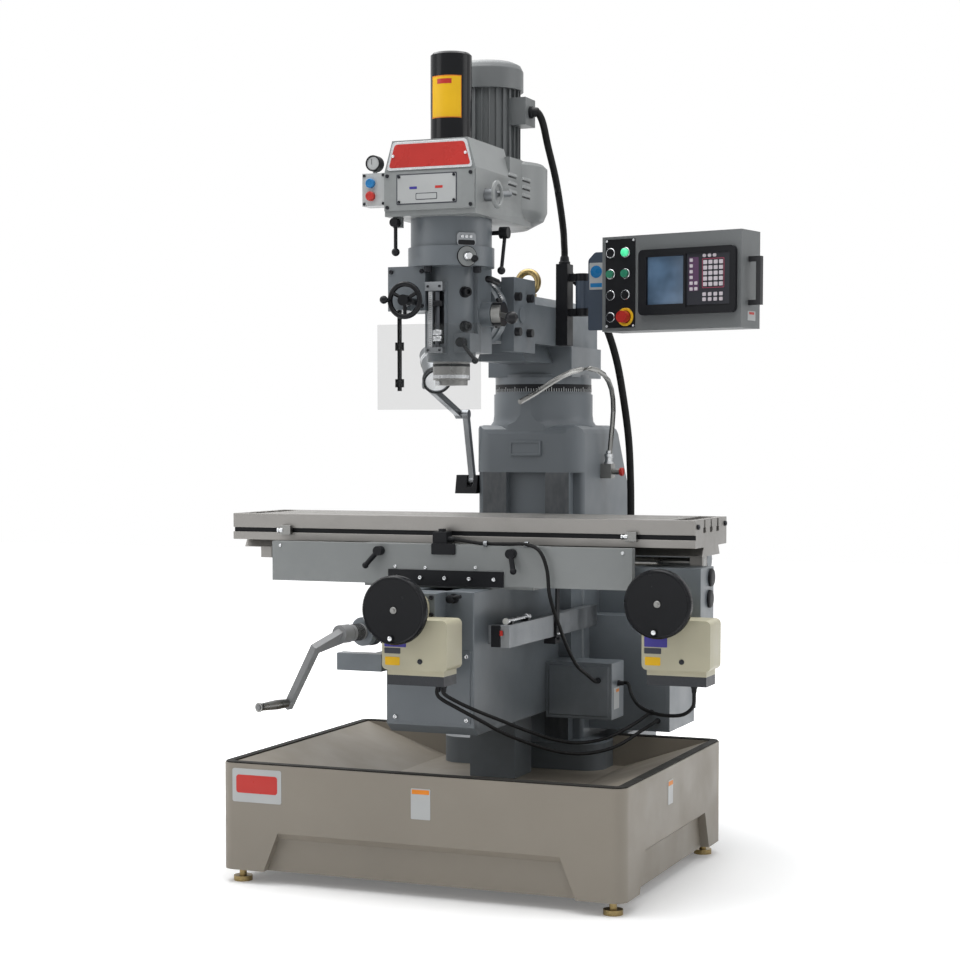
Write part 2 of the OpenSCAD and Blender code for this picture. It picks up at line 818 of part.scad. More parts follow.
module junction_box() {
    color("#a9aeb1") {
        block(jbox_x, jbox_y, jbox_z);
        block([jbox_x[0] + 10, jbox_x[1] - 10], [jbox_y[0] - lid_t, jbox_y[0]],
            [jbox_z[0] + 10, jbox_z[1] - 10]);
    }
}

// Saddle

saddle_w = 500;
saddle_y = [skirt_y + 14, table_y + 188];
skirt_t = 24;
skirt_drop = 8;
tail_h = 25;
tail_top = 70;
tail_low = 85;
nut_w = 80;
nut_y = [table_y - 60, table_y + 40];
x_screw_z = saddle_z - 45;
x_channel_w = 48;
lock_x = 195;
lock_z = saddle_z - 20;
lock_pin_r = 6;

// The table's dovetail, wider at its foot, in Y and Z
function tail_outline(gap) = [[table_y - tail_top - gap, saddle_z + gap],
    [table_y + tail_top + gap, saddle_z + gap],
    [table_y + tail_low + gap, saddle_z - tail_h - gap],
        [table_y - tail_low - gap, saddle_z - tail_h - gap]];

module saddle() {
    color(paint)
        difference() {
            union() {
                block([-saddle_w / 2, saddle_w / 2], saddle_y, [knee_z, saddle_z]);
                block([-skirt_l / 2, skirt_l / 2], [skirt_y, skirt_y + skirt_t],
                    [knee_z + skirt_drop, saddle_z]);
            }
            along_x([-saddle_w, saddle_w], tail_outline(slide_gap));
            block([-saddle_w, saddle_w], [table_y - x_channel_w / 2, table_y + x_channel_w / 2],
                [x_screw_z - 17, saddle_z - tail_h]);
            for (side = [-1, 1])
                rod_y(lock_pin_r + turn_gap, side * lock_x, [skirt_y - cut, skirt_y + 30], lock_z);
        }
    // Nut of the cross screw, hanging in the knee's channel
    color(casting)
        difference() {
            block([-nut_w / 2, nut_w / 2], nut_y, [channel_z + 5, knee_z]);
            rod_y(cross_screw_r + turn_gap, 0, [nut_y[0] - cut, nut_y[1] + cut], screw_axis_z);
        }
}

way_cover_w = 340;
way_cover_t = 5;

module way_cover() {
    color(black) {
        block([-way_cover_w / 2, way_cover_w / 2], [skirt_y - way_cover_t, skirt_y],
            [knee_z + 6, knee_z + 48]);
        for (i = [-2:2])
            rod_y(5, i * 72, [skirt_y - way_cover_t - 3, skirt_y - way_cover_t], knee_z + 27);
    }
}

gearbox_x = [skirt_l / 2, skirt_l / 2 + 170];
gearbox_y = [skirt_y + 56, table_y - 28];
gearbox_z = [saddle_z - 230, saddle_z - 52];
x_wheel_x = skirt_l / 2 + 100;
x_axis_z = saddle_z - 135;
x_shaft_r = 13;

module x_gearbox() {
    color(casting)
        difference() {
            union() {
                block(gearbox_x, gearbox_y, gearbox_z);
                // Arm that carries the gearbox from the saddle's side, behind the skirt
                block([saddle_w / 2, gearbox_x[0] + cut], [skirt_y + 56, skirt_y + 96],
                    [saddle_z - 92, saddle_z - 52]);
            }
            rod_y(x_shaft_r + turn_gap, x_wheel_x, [gearbox_y[0] - cut, gearbox_y[1] - 20], x_axis_z);
        }
}

module x_feed_unit() {
    feed_unit(x_wheel_x, gearbox_y[0], x_axis_z, x_shaft_r, x_feed_drop);
}

x_wheel_y = gearbox_y[0] - feed_l - dial_l;

module x_handwheel() {
    handwheel(x_wheel_x, x_wheel_y, x_axis_z);
    color(steel) {
        rod_y(dial_r, x_wheel_x, [x_wheel_y, x_wheel_y + dial_l - slide_gap], x_axis_z);
        rod_y(x_shaft_r, x_wheel_x, [x_wheel_y, gearbox_y[1] - 30], x_axis_z);
    }
}

module limit_switch() {
    color(black) {
        block([-42, 0], [skirt_y + 6, skirt_y + 44], [saddle_z, saddle_z + 34]);
        block([-28, -14], [skirt_y + 14, skirt_y + 36], [saddle_z + 34, saddle_z + 42]);
    }
}

module table_lock(x, tip) {
    color(black)
        translate([x, skirt_y, lock_z]) {
            rotate([90, 0, 0])
                cylinder(r = 13, h = 24);
            bar([0, -16, 0], tip, 7);
            translate(tip)
                sphere(r = 9);
        }
    color(steel)
        rod_y(lock_pin_r, x, [skirt_y - cut, skirt_y + 28], lock_z);
}

module table_lock_left() {
    table_lock(-lock_x, [-34, -26, -40]);
}

module table_lock_right() {
    table_lock(lock_x, [12, -26, -46]);
}

// Table

slot_depth = 36;
slot_head_w = 27;
slot_head_h = 14;
edge_groove = [table_z - 52, table_z - 40];
trough_l = 46;
trough_t = 10;
hanger_l = 36;

module table() {
    color(steel)
        difference() {
            union() {
                block([-table_l / 2, table_l / 2], [table_front_y, table_front_y + table_w],
                    [saddle_z, table_z]);
                along_x([-table_l / 2, table_l / 2], tail_outline(0));
                // Hangers that hold the screw under both ends
                for (side = [-1, 1])
                    translate([side * (table_l / 2 - hanger_l), 0, 0])
                        block([-hanger_l / 2, hanger_l / 2], [table_y - 22, table_y + 22],
                            [x_screw_z - 15, saddle_z - tail_h + cut]);
            }
            // T-slots along the top
            for (i = [-1:1])
                translate([0, table_y + i * slot_pitch, 0]) {
                    block([-table_l, table_l], [-slot_w / 2, slot_w / 2],
                        [table_z - slot_depth, table_z + cut]);
                    block([-table_l, table_l], [-slot_head_w / 2, slot_head_w / 2],
                        [table_z - slot_depth, table_z - slot_depth + slot_head_h]);
                }
            // Coolant troughs across both ends
            for (side = [-1, 1])
                translate([side * (table_l / 2 - trough_l), 0, 0])
                    block([-trough_l / 2, trough_l / 2], [table_front_y + 20, table_front_y + table_w - 20],
                        [table_z - trough_t, table_z + cut]);
            // Groove in the front edge for the trip dogs
            block([-table_l, table_l], [table_front_y - cut, table_front_y + 8], edge_groove);
            for (side = [-1, 1])
                rod_x(table_screw_r, side > 0 ? [table_l / 2 - 2 * hanger_l, table_l / 2 + cut]
                    : [-table_l / 2 - cut, -table_l / 2 + 2 * hanger_l], table_y, x_screw_z);
        }
}

dog_x = 512;

module trip_dogs() {
    color(steel)
        for (side = [-1, 1])
            translate([side * dog_x, 0, 0]) {
                block([-16, 16], [table_front_y - 14, table_front_y],
                    [edge_groove[0] - 6, edge_groove[1] + 8]);
                block([-14, 14], [table_front_y, table_front_y + 7],
                    [edge_groove[0] + 1, edge_groove[1] - 1]);
            }
}

module x_screw() {
    color("#9fa3a6")
        rod_x(table_screw_r, [-table_l / 2 + hanger_l / 2, table_l / 2 - hanger_l / 2], table_y, x_screw_z);
}

// Turret and ram

turret_block_w = 266;
ring_step = 8;
turret_block_y = [turret_y - 118, turret_y + 150];
ram_tail_top = 55;
ram_tail_low = 75;
ram_back_y = turret_y + ram_tail;
ram_corner = 28;
fork_w = 200;
fork_y = [pivot_y - 58, pivot_y + 110];
ram_lap = 13;
ram_y = fork_y[1] - ram_lap;
bolt_y = [-44, 50];
bolt_z = 49;
bolt_r = 12;
bolt_h = 16;
fork_z = [pivot_z - 104, pivot_z + 103];
tongue_w = 124;
tongue_r = 80;
pivot_pin_r = 22;

module turret() {
    color(casting)
        difference() {
            union() {
                rod_z(ring_r, 0, turret_y, [neck_top_z, ring_top_z]);
                rod_z(ring_r - ring_step, 0, turret_y, [ring_top_z - cut, ring_top_z + ring_step]);
                block([-turret_block_w / 2, turret_block_w / 2], turret_block_y, [ring_top_z, ram_z]);
            }
            along_y([turret_block_y[0] - cut, turret_block_y[1] + cut],
                [[-ram_tail_top - slide_gap, ram_z + cut], [-ram_tail_top - slide_gap, ram_z],
                 [-ram_tail_low - slide_gap, turret_z], [ram_tail_low + slide_gap, turret_z],
                 [ram_tail_top + slide_gap, ram_z], [ram_tail_top + slide_gap, ram_z + cut]]);
        }
}

module ram() {
    color(casting)
        difference() {
            union() {
                // Long body over its dovetail, with cut top corners
                along_y([ram_y, ram_back_y],
                    [[-ram_tail_low, turret_z], [ram_tail_low, turret_z], [ram_tail_top, ram_z],
                        [ram_w / 2, ram_z],
                     [ram_w / 2, ram_top_z - ram_corner], [ram_w / 2 - ram_corner, ram_top_z],
                     [-ram_w / 2 + ram_corner, ram_top_z], [-ram_w / 2, ram_top_z - ram_corner],
                     [-ram_w / 2, ram_z], [-ram_tail_top, ram_z]]);
                // Fork that carries the head's pivot
                block([-fork_w / 2, fork_w / 2], fork_y, fork_z);
            }
            block([-tongue_w / 2, tongue_w / 2], [fork_y[0] - cut, pivot_y + tongue_r + 8],
                [fork_z[0] - cut, fork_z[1] + cut]);
            rod_x(pivot_pin_r + turn_gap, [-fork_w, fork_w], pivot_y, pivot_z);
        }
    // Clamp bolts on the fork's sides
    color(black)
        for (side = [-1, 1], y = bolt_y, z = [-bolt_z, bolt_z])
            rod_x(bolt_r, side > 0 ? [fork_w / 2 - cut, fork_w / 2 + bolt_h]
                : [-fork_w / 2 - bolt_h, -fork_w / 2 + cut], pivot_y + y, pivot_z + z);
}

eye_y = turret_y - 132;
eye_r = 31;
eye_t = 10;

module lifting_eye() {
    color("#b9a77c") {
        rod_z(26, 0, eye_y, [ram_top_z, ram_top_z + 16]);
        translate([0, eye_y, ram_top_z + 20 + eye_r])
            rotate([90, 0, 0])
                rotate_extrude()
                    translate([eye_r, 0])
                        circle(eye_t);
    }
}

// Control console on its post

console_turn = -12.4;
console_at = [271, turret_y - 243, ram_z + 34];
post_x = [ram_w / 2, ram_w / 2 + 36];
post_pin = [169, turret_y - 126];
post_pin_r = 9;
post_d = 50;
post_z = [ram_z, ram_z + 241];
ear_r = 20;
ear_h = 22;
arm_z = [ram_z + 110, ram_z + 190];

module console_post() {
    color(black) {
        block(post_x, [post_pin[1] - post_d / 2, post_pin[1] + post_d / 2], [post_z[0] + 2, post_z[1]]);
        // Ears above and below the console's arm, with the hinge pin
        for (z = [arm_z[0] - ear_h - slide_gap, arm_z[1] + slide_gap]) {
            block([post_x[1] - cut, post_pin[0]], [post_pin[1] - 12, post_pin[1] + 12], [z, z + ear_h]);
            rod_z(ear_r, post_pin[0], post_pin[1], [z, z + ear_h]);
        }
        rod_z(post_pin_r, post_pin[0], post_pin[1], [arm_z[0] - ear_h, arm_z[1] + ear_h]);
    }
}

// Places children at the console's lower left front corner, X along its face
module on_console() {
    translate(console_at)
        rotate([0, 0, console_turn])
            children();
}

arm_near = -46;
display_x = [128, 434];
display_z = [42, 226];
display_t = 16;
display_r = 14;
screen_x = [154, 273];
screen_z = [71, 205];
keypad_x = [281, 418];
keypad_z = [61, 209];
handle_z = [70, 190];
button_r = 11;
button_x = [30, 79];
button_z = [223, 163, 103, 40];
knob_h = 8;
stop_r = 17;
stop_h = 22;

module console_box() {
    color("#9ea5aa")
        on_console()
            difference() {
                cube([console_w, console_d, console_h]);
                // Wells of the travelling buttons
                for (p = [[button_x[1], button_z[1]], [button_x[0], button_z[1]],
                    [button_x[1], button_z[3]]])
                    rod_y(button_r * 0.5 + turn_gap, p[0], [-cut, 30], p[1]);
            }
    color("#8b98a3") {
        // Arm from the hinge barrel to the console's left side
        difference() {
            union() {
                rod_z(ear_r, post_pin[0], post_pin[1], arm_z);
                intersection() {
                    block([post_pin[0], console_at[0] + 60], [post_pin[1] - 14, post_pin[1] + 14], arm_z);
                    on_console()
                        block([-200, 0], [-200, 300], [0, console_h]);
                }
            }
            rod_z(post_pin_r + turn_gap, post_pin[0], post_pin[1], [arm_z[0] - cut, arm_z[1] + cut]);
        }
    }
    // Pull handle on the right side
    color(black)
        on_console() {
            for (z = handle_z)
                block([console_w, console_w + 34], [40, 56], [z - 7, z + 7]);
            block([console_w + 24, console_w + 38], [40, 56], [handle_z[0] - 7, handle_z[1] + 7]);
        }
}

module console_display() {
    color(black)
        on_console() {
            difference() {
                translate([(display_x[0] + display_x[1]) / 2, 0, (display_z[0] + display_z[1]) / 2])
                    rotate([90, 0, 0])
                        linear_extrude(display_t)
                            round_rect(display_x[1] - display_x[0], display_z[1] - display_z[0], display_r);
                block(screen_x, [-display_t - cut, -6], screen_z);
                block(keypad_x, [-display_t - cut, -11], keypad_z);
            }
        }
    // Selector knobs and the pilot lamp's bezel, fixed on the face beside the display
    color(black)
        on_console()
            for (p = [[0, 0], [1, 0], [0, 2], [1, 2], [0, 3]])
                translate([button_x[p[0]], 0, button_z[p[1]]])
                    rotate([90, 0, 0])
                        cylinder(r = button_r, h = knob_h);
}

// Push button: a cap on a short stem in the console's face
module push_button(x, z, r, h) {
    on_console() {
        rod_y(r, x, [-h - 6, -6], z);
        rod_y(button_r * 0.5, x, [-7, 24], z);
    }
}

module start_button() {
    color("#2f8f5b")
        push_button(button_x[1], button_z[1], button_r, knob_h);
}

module coolant_button() {
    color("#2f8f5b")
        push_button(button_x[0], button_z[1], button_r, knob_h);
}

module emergency_stop() {
    color("#c23a33")
        push_button(button_x[1], button_z[3], stop_r, stop_h);
}

// Head

flange_r = 100;
flange_t = 35;
tongue_gap = 1;
gear_r = [117, 110];
gear_step_z = gear_z + 52;
feed_box_x = [-150, -40];
feed_box_y = [spindle_y - 85, spindle_y + 60];
feed_box_h = 118;
clamp_x = [34, 80];
lever_x = 126;
lever_hub_r = 33;
lever_y = spindle_y + 38;
lever_z = pivot_z - 11;
lever_pin_r = 10;
lock_at = [60, spindle_y - 62, pivot_z - 90];
wheel_at = [-64, spindle_y - 165, pivot_z + 19];
wheel_pin_r = 9;
guard_rod = [-100, spindle_y - 120];
guard_rod_r = 6;
range_at = [-110, spindle_y - 122, belt_z - 14];
gear_at = [gear_r[1], spindle_y + 58, gear_step_z + 44];
brake_at = [belt_r, spindle_y - 74, belt_z + 54];

module knuckle() {
    color(casting) {
        rod_y(flange_r, 0, [head_face_y, head_face_y + flange_t], pivot_z);
        block([-tongue_w / 2 + tongue_gap, tongue_w / 2 - tongue_gap],
            [head_face_y + flange_t - cut, pivot_y],
            [pivot_z - tongue_r + 5, pivot_z + tongue_r - 5]);
        rod_x(tongue_r, [-tongue_w / 2 + tongue_gap, tongue_w / 2 - tongue_gap], pivot_y, pivot_z);
        rod_x(pivot_pin_r, [-fork_w / 2 - 4, fork_w / 2 + 4], pivot_y, pivot_z);
    }
}

module head_casting() {
    color(casting)
        difference() {
            union() {
                rod_z(barrel_r, 0, spindle_y, [barrel_z, gear_z + cut]);
                block([-78, 78], [spindle_y, head_face_y - 30], [barrel_z + 25, gear_z + cut]);
                rod_y(flange_r - 4, 0, [head_face_y - 34, head_face_y - slide_gap], pivot_z);
                // Feed gear case on the left
                block(feed_box_x, feed_box_y, [gear_z - feed_box_h, gear_z + cut]);
                // Two stacked rings of the back gear case
                rod_z(gear_r[0], 0, spindle_y, [gear_z, gear_step_z]);
                rod_z(gear_r[1], 0, spindle_y, [gear_step_z - cut, belt_z]);
                // Boss of the quill clamp, boss of the quill lever
                block(clamp_x, [spindle_y - 62, spindle_y], [lock_at[2] - 25, lock_at[2] + 25]);
                rod_x(lever_hub_r + cut, [60, lever_x - 16], lever_y, lever_z);
                // Depth scale rail on the front of the barrel
                block([-34, 16], [spindle_y - barrel_r - 12, spindle_y - barrel_r + 12],
                    [barrel_z + 20, gear_z - 42]);
                // Boss that holds the guard's rod
                block([guard_rod[0] - 18, guard_rod[0] + 18], [guard_rod[1] - 16, feed_box_y[0] + cut],
                    [gear_z - feed_box_h, gear_z - feed_box_h + 32]);
            }
            rod_z(quill_r + turn_gap, 0, spindle_y, [barrel_z - cut, gear_step_z]);
            rod_z(quill_r * 0.7, 0, spindle_y, [gear_step_z - cut, belt_z + cut]);
            rod_x(lever_pin_r + turn_gap, [62, lever_x], lever_y, lever_z);
            rod_y(lock_pin_r + turn_gap, lock_at[0], [lock_at[1] - cut, lock_at[1] + 24], lock_at[2]);
            rod_y(wheel_pin_r + turn_gap, wheel_at[0], [feed_box_y[0] - cut, feed_box_y[0] + 50],
                wheel_at[2]);
            rod_z(guard_rod_r + turn_gap, guard_rod[0], guard_rod[1],
                [gear_z - feed_box_h - cut, gear_z - feed_box_h + 28]);
            rod_x(lock_pin_r + turn_gap, [gear_at[0] - 30, gear_at[0] + 20], gear_at[1], gear_at[2]);
        }
}

belt_front_h = 199;
belt_plate_z = belt_z + 117;
belt_step_y = spindle_y + 100;
bulge_r = 162;
bulge_y = motor_y + 22;
bulge_low_r = 108;
bulge_skew = 46;
bulge_round = 10;

module belt_housing() {
    color(paint)
        difference() {
            union() {
                block([-belt_r, belt_r], [belt_front_y, motor_y], [belt_z, belt_plate_z]);
                block([-belt_r, belt_r], [belt_step_y, motor_y], [belt_plate_z - cut, belt_top_z]);
                // Round bulge under the motor, drawn in towards the gear case
                translate([0, bulge_y, belt_z])
                    rotate_extrude()
                        polygon([[0, 0], [bulge_low_r, 0], [bulge_r - bulge_round, bulge_skew / 2],
                            [bulge_r, bulge_skew], [bulge_r, belt_h - bulge_round],
                            [bulge_r - bulge_round, belt_h], [0, belt_h]]);
                // Front upper part, narrower at its top
                along_y([belt_front_y, belt_step_y + 12],
                    [[-belt_r, belt_plate_z - cut], [belt_r, belt_plate_z - cut],
                        [belt_r, belt_plate_z + 4],
                     [belt_r - 22, belt_z + belt_front_h], [-belt_r + 22, belt_z + belt_front_h],
                     [-belt_r, belt_plate_z + 4]]);
                // Lug that carries the speed lever under the front
                block([range_at[0] - 12, range_at[0] + 12], [range_at[1] + 8 + slide_gap, range_at[1] + 26],
                    [range_at[2] - 12, belt_z + cut]);
                // Cover plate on the front
                block([-belt_r + 2, belt_r - 2], [belt_front_y - 8, belt_front_y + cut],
                    [belt_z + 14, belt_plate_z - 2]);
            }
            rod_x(lock_pin_r + turn_gap, [belt_r - 40, belt_r + 20], brake_at[1], brake_at[2]);
            rod_y(lock_pin_r + turn_gap, range_at[0], [range_at[1], range_at[1] + 24], range_at[2]);
        }
}

fin_count = 28;
fin_t = 3;
fin_h = 8;
cowl_h = 78;
term_x = 48;
term_d = 76;
term_set = 4;
term_z = [104, 180];

module motor() {
    color(casting)
        translate([0, motor_y, belt_top_z]) {
            // Finned body
            linear_extrude(motor_h)
                union() {
                    circle(motor_r);
                    for (i = [0:fin_count - 1])
                        rotate(i * 360 / fin_count)
                            translate([motor_r - 2, -fin_t / 2])
                                square([fin_h + 2, fin_t]);
                }
            cylinder(r = motor_r + fin_h + 4, h = 14);
            // Fan cowl with a rounded shoulder
            translate([0, 0, motor_h])
                rotate_extrude()
                    polygon([[0, 0], [motor_r + fin_h + 8, 0], [motor_r + fin_h + 8, cowl_h - 24],
                        [motor_r + fin_h, cowl_h - 8], [motor_r - 8, cowl_h], [0, cowl_h]]);
            // Terminal box on the right
            translate([motor_r - term_set, -term_d / 2, term_z[0]])
                cube([term_x, term_d, term_z[1] - term_z[0]]);
        }
}

module drawbar_cover() {
    color(black)
        translate([0, spindle_y, belt_z + belt_front_h])
            rotate_extrude()
                polygon([[0, 0], [drawbar_r + 6, 0], [drawbar_r + 6, 10], [drawbar_r, 12],
                    [drawbar_r, drawbar_h - 6],
                    [drawbar_r - 6, drawbar_h], [0, drawbar_h]]);
}

spindle_r = 28;

module quill() {
    color(steel)
        difference() {
            rod_z(quill_r, 0, spindle_y, [nose_z, gear_step_z - 6]);
            rod_z(spindle_r + turn_gap, 0, spindle_y, [nose_z - cut, gear_step_z]);
        }
}

module spindle() {
    color(steel)
        difference() {
            union() {
                rod_z(spindle_r, 0, spindle_y, [nose_z - slide_gap, belt_z - 6]);
                rod_z(quill_r - 6, 0, spindle_y, [nose_z - 14, nose_z - slide_gap]);
            }
            rod_z(socket_r, 0, spindle_y, [nose_z - 14 - cut, nose_z - 14 + socket_l]);
        }
}

lever_tip = [85, -128, -18];

module quill_lever() {
    color(black) {
        rod_x(lever_hub_r, [lever_x - 14, lever_x + 12], lever_y, lever_z);
        rod_x(lever_pin_r, [64, lever_x], lever_y, lever_z);
    }
    translate([lever_x, lever_y, lever_z]) {
        color(steel)
            bar([2, -3, 0], lever_tip, 7);
        color(black)
            translate(lever_tip)
                sphere(r = 17);
    }
}

module feed_handwheel() {
    color(black)
        translate(wheel_at) {
            rotate([90, 0, 0]) {
                rotate_extrude()
                    translate([feed_wheel_r - 7, 0])
                        circle(7);
                for (a = [30, 150, 270])
                    rotate(a)
                        rotate([0, 90, 0])
                            cylinder(r = 5, h = feed_wheel_r - 8);
                translate([0, 0, -14])
                    cylinder(r = 15, h = 28);
                translate([-feed_wheel_r + 7, 0, 0])
                    cylinder(r = 5, h = 40);
                translate([-feed_wheel_r + 7, 0, 40])
                    sphere(r = 11);
            }
        }
    color(steel)
        rod_y(wheel_pin_r, wheel_at[0], [wheel_at[1], feed_box_y[0] + 40], wheel_at[2]);
}

guard_w = [-162, 138];
guard_z = [pivot_z - 270, pivot_z - 42];
guard_t = 4;

module splash_guard() {
    color("#c8d6dc", 0.4)
        block(guard_w, [guard_rod[1] - guard_rod_r - guard_t / 2,
            guard_rod[1] - guard_rod_r + guard_t / 2], guard_z);
    color(black) {
        rod_z(guard_rod_r, guard_rod[0], guard_rod[1], [guard_z[0] + 50, gear_z - feed_box_h + 26]);
        for (z = [guard_z[0] + 60, guard_z[1] - 70])
            rod_z(12, guard_rod[0], guard_rod[1], [z, z + 22]);
    }
}

// Ball ended lever that hangs from a hub
module ball_lever(tip, ball_r) {
    bar([0, 0, 0], tip, 5);
    translate(tip)
        sphere(r = ball_r);
}

module speed_lever() {
    color(black) {
        translate(range_at)
            ball_lever([0, 0, -78], 11);
        rod_y(12, range_at[0], [range_at[1] - 14, range_at[1] + 8], range_at[2]);
        rod_y(lock_pin_r, range_at[0], [range_at[1] + 7, range_at[1] + 22], range_at[2]);
    }
}

module gear_lever() {
    color(black) {
        rod_x(16, [gear_at[0] + 10, gear_at[0] + 34], gear_at[1], gear_at[2]);
        rod_x(lock_pin_r, [gear_at[0] - 28, gear_at[0] + 12], gear_at[1], gear_at[2]);
        translate([gear_at[0] + 24, gear_at[1], gear_at[2]])
            ball_lever([0, -28, -104], 11);
    }
}

module brake_lever() {
    color("#d5d8da") {
        rod_x(17, [belt_r + slide_gap, belt_r + 26], brake_at[1], brake_at[2]);
        rod_x(lock_pin_r, [belt_r - 38, belt_r + cut], brake_at[1], brake_at[2]);
        translate([belt_r + 16, brake_at[1], brake_at[2]])
            bar([0, 0, 0], [14, 96, 12], 8);
    }
}

module quill_lock() {
    color(black) {
        rod_y(13, lock_at[0], [lock_at[1] - 22, lock_at[1] - slide_gap], lock_at[2]);
        rod_y(lock_pin_r, lock_at[0], [lock_at[1] - cut, lock_at[1] + 22], lock_at[2]);
        translate([lock_at[0], lock_at[1] - 12, lock_at[2]])
            ball_lever([44, -10, -50], 9);
    }
}

switch_x = [-belt_r - 69, -belt_r];
switch_y = [belt_front_y + 6, belt_front_y + 56];
switch_z = [belt_z + 31, belt_z + 118];

module drawbar_switch() {
    color("#c9cdd0")
        block(switch_x, switch_y, switch_z);
    for (i = [0, 1])
        color(i == 0 ? "#c23a33" : "#2d6fb0")
            rod_y(11, switch_x[0] + 26, [switch_y[0] - 9, switch_y[0]], switch_z[0] + 26 + i * 34);
    // Pressure gauge on top
    color(black) {
        rod_y(21, switch_x[0] + 30, [switch_y[0] + 4, switch_y[0] + 30], switch_z[1] + 27);
        rod_z(6, switch_x[0] + 30, switch_y[0] + 17, [switch_z[1], switch_z[1] + 10]);
    }
}

// Cord routes

// Each route starts and ends square on the face that it meets
motor_cable_r = 10;
motor_from = [motor_r - term_set + term_x, motor_y, belt_top_z + (term_z[0] + term_z[1]) / 2];
motor_to = [(post_x[0] + post_x[1]) / 2, post_pin[1], post_z[1]];
motor_route = [motor_from, motor_from + [20, 0, 0], [160, 72, 2100], [158, 120, 2040], [154, 190, 1965],
    [144, 260, 1890], [130, 326, 1826], [117, 370, 1786], motor_to + [0, 0, 36], motor_to];
console_cable_r = 11;
console_from = [(post_x[0] + post_x[1]) / 2, post_pin[1] + post_d / 2, post_z[1] - 31];
console_to = [outlet_x[0] + 76, outlet_y[0] + 73, cabinet_z[1] + outlet_h];
console_route = [console_from, console_from + [0, 24, 0], [150, 480, 1650], [196, 510, 1560],
    [222, 540, 1460],
    [236, 570, 1340], [244, 600, 1210], [246, 614, 1080], console_to + [0, 0, 60], console_to];
feed_cable_r = 5;
y_lip_z = screw_axis_z - feed_h - y_feed_drop - feed_lip_h;
x_lip_z = x_axis_z - feed_h - x_feed_drop - feed_lip_h;
knee_from_a = [96, knee_y - bracket_l - 52, y_lip_z];
knee_from_b = [80, knee_y - bracket_l - 52, y_lip_z];
knee_to_a = [cabinet_x[0] + 196, cabinet_y[0], cabinet_z[0] + 57];
knee_to_b = [cabinet_x[0] + 216, cabinet_y[0], cabinet_z[0] + 33];
knee_route_a = [knee_from_a, knee_from_a - [0, 0, 22], [118, -430, 526], [146, -350, 492], [160, -250, 460],
    [172, -150, 428], [190, -50, 396], [214, 60, 364], [246, 170, 344], [288, 280, 346], [334, 380, 374],
    knee_to_a - [0, 24, 0], knee_to_a];
knee_route_b = [knee_from_b, knee_from_b - [0, 0, 30], [112, -424, 510], [146, -350, 470], [158, -250, 430],
    [176, -150, 394], [204, -50, 360], [236, 60, 330], [274, 170, 316], [314, 280, 322], [350, 380, 350],
    knee_to_b - [0, 24, 0], knee_to_b];
saddle_from = [x_wheel_x + 75, gearbox_y[0] - 72, x_lip_z];
saddle_to = [jbox_x[1], jbox_y[0] + 56, jbox_z[0] + 102];
saddle_route = [saddle_from, saddle_from - [0, 0, 27], [692, -224, 520], [650, -160, 490], [590, -80, 472],
    [520, 0, 464], [450, 80, 470], [396, 170, 490], saddle_to + [30, 0, 0], saddle_to];
switch_from = [0, skirt_y + 20, saddle_z + 14];
switch_to = [jbox_x[0] + 162, jbox_y[0] - lid_t, jbox_z[0] + 114];
skirt_top_z_on = saddle_z + feed_cable_r;
switch_route = [switch_from, switch_from + [24, 0, 0], [100, -238, skirt_top_z_on],
    [180, -240, skirt_top_z_on],
    [240, -252, skirt_top_z_on], [280, -264, 918], [300, -264, 870], [306, -258, 800], [306, -190, 720],
    [302, -110, 650], [298, -20, 590], [294, 80, 552], switch_to - [0, 27, 0], switch_to];

module motor_cable() {
    color(black)
        tube(motor_route, motor_cable_r);
}

module console_cable() {
    color(black)
        tube(console_route, console_cable_r);
}

module knee_cables() {
    color(black) {
        tube(knee_route_a, feed_cable_r, 1);
        tube(knee_route_b, feed_cable_r, 1);
    }
}

module saddle_cables() {
    color(black) {
        tube(saddle_route, feed_cable_r, 1);
        tube(switch_route, feed_cable_r, 1);
    }
}

base_pan();
levelling_feet();
column();
screw_pedestal();
electrical_cabinet();
cabinet_door();
lamp_base();
lamp_lower_arm();
lamp_upper_arm();
lamp_head();
coolant_hose();
knee();
elevating_screw();
y_bearing_bracket();
y_feed_unit();
y_handwheel();
crank_bracket();
knee_crank();
crank_grip();
y_scale();
junction_box();
saddle();
way_cover();
x_gearbox();
x_feed_unit();
x_handwheel();
limit_switch();
table_lock_left();
table_lock_right();
table();
trip_dogs();
x_screw();
turret();
ram();
lifting_eye();
console_post();
console_box();
console_display();
start_button();
coolant_button();
emergency_stop();
knuckle();
head_casting();
belt_housing();
motor();
drawbar_cover();
quill();
spindle();
quill_lever();
feed_handwheel();
splash_guard();
speed_lever();
gear_lever();
brake_lever();
quill_lock();
drawbar_switch();
motor_cable();
console_cable();
knee_cables();
saddle_cables();
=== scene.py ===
import math

import bmesh
import bpy
from mathutils import Matrix, Vector


